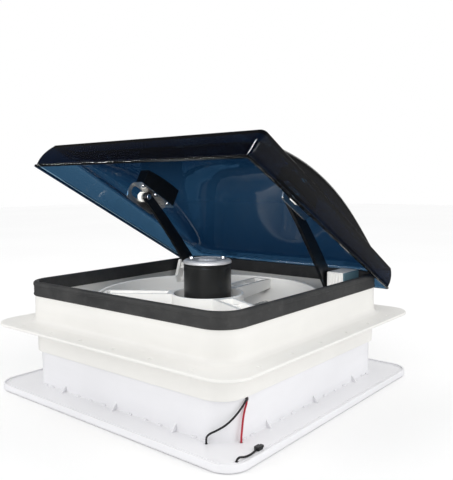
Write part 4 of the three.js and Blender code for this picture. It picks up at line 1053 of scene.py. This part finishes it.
def top_loop(inset, z):
    return lid_loop(LID_FRONT_TOP + inset, LID_BACK - inset, LID_HALF - inset, TOP_CORNER - inset,
            lambda x, y: z)


def crown_loops(skin):
    half_x, half_y = CROWN_X - skin, CROWN_Y - skin

    def height(x, y):
        lengthwise = max(0.0, 1 - (y / half_y) ** 2)
        return LID_TOP - skin + CROWN_HEIGHT * lengthwise * sqrt(max(0.0, 1 - abs(x / half_x) ** 20))

    return [lid_loop(-half_y * s, half_y * s, half_x * s, 26 * s, height) for s in CROWN_SCALES]


def add_lid():
    shares = [i / 14 for i in range(2, 14)]
    outside = [lip_loop(bead, rise) for bead, rise in LIP_EDGE] + skirt_loops(0, shares)
    brow = offset(0, LID_EDGE, [(0, 0), (0.35, 1.1), (0.9, 1.8), (1.8, 2.2)])
    outside += [top_loop(inset, z) for inset, z in brow]
    outside += crown_loops(0)
    inner = SKIRT_SKIN + 0.4
    under = offset(inner, LID_TOP - LID_SKIN, [(1.2, 0), (0.3, -0.6), (0, -1.8)])
    inside = crown_loops(LID_SKIN)[::-1] + [top_loop(inset, z) for inset, z in under]
    inside += skirt_loops(inner, shares)[::-1]
    for out, rise in ((0, 0.4), (0.5, 0)):
        skin = SKIRT_SKIN - out
        inside.append(lid_loop(
            LID_FRONT_LIP + inner - out, LID_BACK - skin, LID_HALF - skin, LIP_CORNER - skin,
            lambda x, y, up=rise: lip_height(y) + up))
    lid = loft("smoked_lid", inside + outside, closed=False, caps=True)
    settle(swung_open(lid), LID_PLASTIC, ["lid_shell"], 0, body="lid")


# ---- brackets and lift arms

BRACKET_TOP, BRACKET_LOW, BRACKET_X = 161.5, 136.0, 140.0
BRACKET_SKIN = 1.8
SLOT_Z, SLOT_FRONT, SLOT_BACK = 150.8, -51.0, -34.8
ARM_LENGTH, ARM_OPEN = 170.6, radians(50.4)
ARM_SKIN, ARM_ROOT, ARM_TIP, ARM_BOW = 5.0, 11.0, 7.2, -3.0
PIN_RADIUS, ROLLER, ROLLER_SPAN = 2.5, 7.9, (134.4, 141.1)
SCREW_X, SCREW_YS = 122.2, (-54.0, -25.5, 3.5)
FLANGE_OUTLINE = [(-62, 161.1), (-65, 149), (-62.5, BRACKET_LOW), (-4, BRACKET_LOW), (18, 161.1)]
HINGE_X = 120
HINGE_ROD = [
    (0, -17.6), (1.3, -17.6), (1.8, -17.1), (1.8, 16.6), (3.0, 16.6), (3.0, 17.6), (2.2, 18.4), (0, 18.4)]
LIFT_TOP = Vector((LIFT.y - ARM_LENGTH * cos(ARM_OPEN), LIFT.z + ARM_LENGTH * sin(ARM_OPEN)))


def bar_outline(start, end, half_start, half_end, bow=0.0, steps=16):
    """A bar with round ends in the YZ plane, through a bowed middle line."""
    start, end = Vector(start), Vector(end)
    along = (end - start).normalized()
    across = Vector((-along.y, along.x))
    left, right = [], []
    for i in range(steps + 1):
        t = i / steps
        middle = start.lerp(end, t) + across * (bow * 4 * t * (1 - t))
        half = half_start + (half_end - half_start) * t
        left.append(middle + across * half)
        right.append(middle - across * half)
    heading = atan2(along.y, along.x)

    def cap(centre, radius, begin):
        return [centre + polar(1, begin - pi * i / 10) * radius for i in range(1, 10)]

    outline = left + cap(end, half_end, heading + pi / 2) + right[::-1]
    return outline + cap(start, half_start, heading - pi / 2)


def add_lift(hand):
    """Bracket, spacer, screws, arm, pin and roller of the left (-1) or right (1) side."""
    name = "left" if hand < 0 else "right"
    place = (lambda piece: piece) if hand > 0 else mirrored
    under = BRACKET_TOP - BRACKET_SKIN
    leaf = plate("leaf", rounded(LIFT.x - 9, BRACKET_X - 0.2, -62, 18, 3, 5), under, BRACKET_TOP,
            [circle(1.6, 16, SCREW_X, y) for y in SCREW_YS])
    flange = side_plate("flange", softened(FLANGE_OUTLINE, 3.5, 6), BRACKET_X - BRACKET_SKIN, BRACKET_X)
    window = bar_outline((SLOT_FRONT, SLOT_Z), (SLOT_BACK, SLOT_Z), ROLLER + 0.3, ROLLER + 0.3)
    bracket = cut(fused(leaf, flange), side_plate("window", window, BRACKET_X - 4, BRACKET_X + 2))
    bracket.name = f"lid_bracket_plate_{name}"
    settle(swung_open(place(bracket)), PRESSED, [f"lid_bracket_{name}"], 0.7, 3, body="lid")
    keep_node(f"bracket_spacer_{name}", BLACK_PLASTIC, 1.0)
    for i, y in enumerate(SCREW_YS):
        screw = moved(pan_screw(f"bracket_bolt_{name}_{i + 1}", 3.3, 2.6, 9, 1.2), turn=pi, axis="X")
        moved(screw, SCREW_X, y, under - 0.3)
        settle(swung_open(place(screw)), ZINC, [f"bracket_screw_{name}_{i + 1}"], 0.1, body="lid")
    x0, x1 = LIFT.x - ARM_SKIN / 2, LIFT.x + ARM_SKIN / 2
    outline = bar_outline(PIVOT, LIFT_TOP, ARM_ROOT, ARM_TIP, ARM_BOW)
    bores = [circle(PIVOT_RADIUS + 0.3, 28, *PIVOT), circle(PIN_RADIUS + 0.3, 28, *LIFT_TOP)]
    arm = side_plate(f"lift_bar_{name}", outline, x0, x1, bores)
    settle(place(arm), BLACK_PAINT, [f"lift_arm_{name}"], 0.9, 3, body=f"lift_{name}")
    tail, outer = x0 - 2.5, BRACKET_X + 3
    pin = cross_turned(f"slot_pin_{name}", [
        (0, tail - 0.5), (3.6, tail - 0.5), (4.4, tail + 0.2), (4.4, x0 - 0.3),
        (PIN_RADIUS, x0 - 0.3), *offset(PIN_RADIUS, outer, [(0, -0.6), (-0.6, 0)]), (0, outer),
    ], *LIFT_TOP)
    settle(place(pin), TURNED, [f"arm_pin_{name}"], 0, body=f"lift_{name}")
    near, far = ROLLER_SPAN
    roller = cross_turned(f"arm_roller_{name}", [
        (PIN_RADIUS + 0.2, near), *offset(ROLLER, near, [(-0.7, 0), (0, 0.7)]),
        *offset(ROLLER, far, [(0, -0.7), (-0.7, 0)]), (PIN_RADIUS + 0.2, far)], *LIFT_TOP, 40)
    settle(place(roller), NYLON, (), 0, body=f"lift_{name}")


def add_post():
    """The post and pin that carry the left arm."""
    foot = plate("foot", rounded(-164, -140, 98, 138, 2, 4), SHEET_TOP + 0.3, SHEET_TOP + 5,
            [circle(2.2, 20, -158, 104), circle(2.2, 20, -158, 132)])
    upright = softened([(102, 104), (134, 104), (128, 146), (108, 146)], 4, 5)
    upright = side_plate("upright", upright, -146, -140)
    brace = plate("brace", [(-164, 104), (-144, 104), (-144, 145), (-156, 145)], 113, 123)
    brace.data.transform(Matrix(((1, 0, 0, 0), (0, 0, 1, 0), (0, 1, 0, 0), (0, 0, 0, 1))))
    brace.data.flip_normals()
    fin = side_plate("fin", softened([(98, 104), (114, 104), (125, 149), (114, 149)], 2, 4), -164, -158.5)
    post = fused(foot, upright, brace, fin)
    bore = cross_turned("bore", bar(PIVOT_RADIUS + 0.3, -150, -130), *PIVOT)
    cut(post, bore, cross_turned("clear", bar(9, -160, -145.9), *PIVOT))
    post.name = "left_pivot_post"
    settle(post, WARM_WHITE, ["pivot_post"])
    pin = cross_turned("left_pivot_pin", [
        (0, -150), (PIVOT_RADIUS - 0.6, -150), (PIVOT_RADIUS, -149.4), (PIVOT_RADIUS, -125.2), (8, -125.2),
        (8, -121.4), (7.1, -120.5), (0, -120.5)], *PIVOT, 40)
    settle(pin, TURNED, ["pivot_pin"], 0)


def add_gearbox():
    """The gearbox on the right, with its ribs, cover, shaft, gear and motor."""
    low, high = BOX_LOW, BOX_HIGH
    y0, y1 = low.y + 1.4, high.y
    shell = box("gearbox_shell", low.x, y0, low.z, high.x, y1, high.z)
    hollow = box("hollow", low.x + 2, y0 + 2, low.z + 2, high.x + 2, y1 - 2, high.z - 2)
    cut(shell, hollow, cross_turned("bore", bar(PIVOT_RADIUS + 0.3, low.x - 2, low.x + 4), *PIVOT))
    ribs = []
    for i in range(5):
        x = low.x + 2 + i * 4.6
        ribs.append(box("rib", x, low.y, low.z + 6, x + 2, y0 + 0.5, high.z - 1))
    settle(fused(shell, *ribs), WARM_WHITE, ["gearbox_housing"], 0.5)
    keep_node("gearbox_cover", GREY_PLASTIC, 0.8)
    keep_node("output_shaft", TURNED, 0.3)
    keep_node("lift_gear", NYLON, 0.2)
    lo, hi = span("lift_motor")
    centre = (lo + hi) / 2
    radius, length = (hi.x - lo.x) / 2, hi.y - lo.y
    can = turned("lift_motor_can", [
        (0, 0), (4.6, 0), (5, 0.4), (5, 3.2), (radius - 1.2, 3.2), (radius, 4.2),
        *offset(radius, length, [(0, -3), (-0.5, -2.4), (-0.5, -0.8), (-1.3, 0)]), (0, length)], 48)
    moved(can, turn=-pi / 2, axis="X")
    settle(moved(can, centre.x, lo.y, centre.z), ZINC, ["lift_motor"], 0)


def add_hinges():
    """The two hinges behind the lid: base leaf, lid leaf and pin."""
    for hand in (-1, 1):
        name = "left" if hand < 0 else "right"
        for node in (f"hinge_base_{name}", f"hinge_leaf_{name}"):
            keep_node(node, BLACK_PAINT, 0.4)
        pin = cross_turned(f"hinge_rod_{name}", HINGE_ROD, HINGE.y, HINGE.z, 28)
        settle(moved(pin, x=hand * HINGE_X), TURNED, [f"hinge_pin_{name}"], 0)


add_lid()
for side in (-1, 1):
    add_lift(side)
add_post()
add_gearbox()
add_hinges()


# ---- floor and light

def add_floor():
    """A plain pale floor under the trim."""
    half = 6000
    floor = box("floor", -half, -half, TRIM_LOW.z - 10.2, half, half, TRIM_LOW.z - 0.2)
    s = Shader("floor_paint")
    tint = s.ramp(s.noise(1.5, 3.0), (0.3, (0.95, 0.95, 0.95)), (0.7, (0.97, 0.97, 0.97)))
    s.set(Base_Color=tint, Roughness=s.span(s.noise(6.0, 3.0), 0.7, 0.85), Specular_IOR_Level=0.0)
    floor.data.materials.append(s.material)
    floor.visible_glossy = False
    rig.stage(floor)


def add_light(name, azimuth, elevation, distance, size, watts, only=()):
    """A soft oblong light aimed at the object; with only, it lights just those pieces."""
    data = bpy.data.lights.new(name, "AREA")
    put(data, shape="RECTANGLE", size=size[0], size_y=size[1], energy=watts)
    light = in_scene(name, data)
    out = heading(azimuth, elevation)
    light.location = Vector((0, 0, 0.14)) + out * distance
    light.rotation_mode = "QUATERNION"
    light.rotation_quaternion = (-out).to_track_quat("-Z", "Y")
    if only:
        lit = bpy.data.collections.new(f"lit_by_{name}")
        for piece in only:
            lit.objects.link(piece)
        light.light_linking.receiver_collection = lit


def pieces_named(*starts):
    return [o for o in bpy.data.objects if o.type == "MESH" and o.name.startswith(starts)]


def add_world():
    """A bright surround for sight and soft light; mirrors see it dark, but for two paler walls."""
    world = bpy.data.worlds.new("studio")
    bpy.context.scene.world = world
    world.use_nodes = True
    tree = world.node_tree
    direction = tree.nodes.new("ShaderNodeTexCoord").outputs["Generated"]

    def maths(kind, *inputs, **values):
        node = put(tree.nodes.new("ShaderNode" + kind), **values)
        for socket, value in zip(node.inputs, inputs):
            if hasattr(value, "links"):
                tree.links.new(value, socket)
            else:
                socket.default_value = value
        return node

    def wall(towards, slope, start):
        """0 away from a wall and 1 on it, with a soft edge between."""
        facing = maths("VectorMath", direction, towards, operation="DOT_PRODUCT").outputs["Value"]
        return maths("Math", facing, slope, start, operation="MULTIPLY_ADD", use_clamp=True).outputs[0]

    path = tree.nodes.new("ShaderNodeLightPath").outputs
    # a ray that goes through smoked plastic counts as glossy too, so it is taken off
    mirror = maths(
        "Math", path["Is Glossy Ray"], path["Is Transmission Ray"], operation="SUBTRACT", use_clamp=True)
    level = 0.055
    for towards, slope, start, share in (
        ((0.65, 0.76, 0.0), 4.0, -3.0, 0.16),
        ((-0.6455, 0.7557, 0.11), 6.0, -4.9, 0.75),
    ):
        patch = wall(towards, slope, start)
        level = maths("Math", patch, share, level, operation="MULTIPLY_ADD").outputs[0]
    shade = tree.nodes.new("ShaderNodeMix")
    tree.links.new(mirror.outputs[0], shade.inputs[0])
    shade.inputs[2].default_value = 1.0
    tree.links.new(level, shade.inputs[3])
    background = tree.nodes["Background"]
    background.inputs["Color"].default_value = (1, 1, 1, 1)
    tree.links.new(shade.outputs[0], background.inputs["Strength"])


add_floor()
add_world()
INSIDE = pieces_named("fan_plate", "motor_", "left_pivot", "gearbox", "lift_motor", "output_shaft")
MOTOR_END = pieces_named("motor_end", "motor_stud")
BRACKETS = pieces_named("lid_bracket_plate", "bracket_bolt", "slot_pin", "arm_roller")
LID = pieces_named("smoked_lid")
add_light("key_left", -35, 20, 1.7, (1.1, 0.7), 5)
add_light("key_right", 105, 20, 1.7, (1.1, 0.7), 5)
add_light("inside_fill", 28, 20, 1.3, (0.9, 0.4), 10.5, INSIDE)
add_light("cap_fill", 40, 13, 1.3, (2.4, 0.4), 30, MOTOR_END)
add_light("bracket_fill", 14, 7, 1.3, (1.2, 0.35), 30, BRACKETS)
add_light("lid_strip", 22, 66, 1.4, (0.34, 1.0), 26, LID)
add_light("lip_strip", -50, 22, 1.4, (0.9, 0.15), 8.5, LID)

bpy.context.scene.view_settings.view_transform = "Standard"

with open("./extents.json", "w") as sizes:
    json.dump({
        "cad": [list(corner) for corner in cad_box],
        "visual": [list(corner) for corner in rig.bounds()],
    }, sizes)
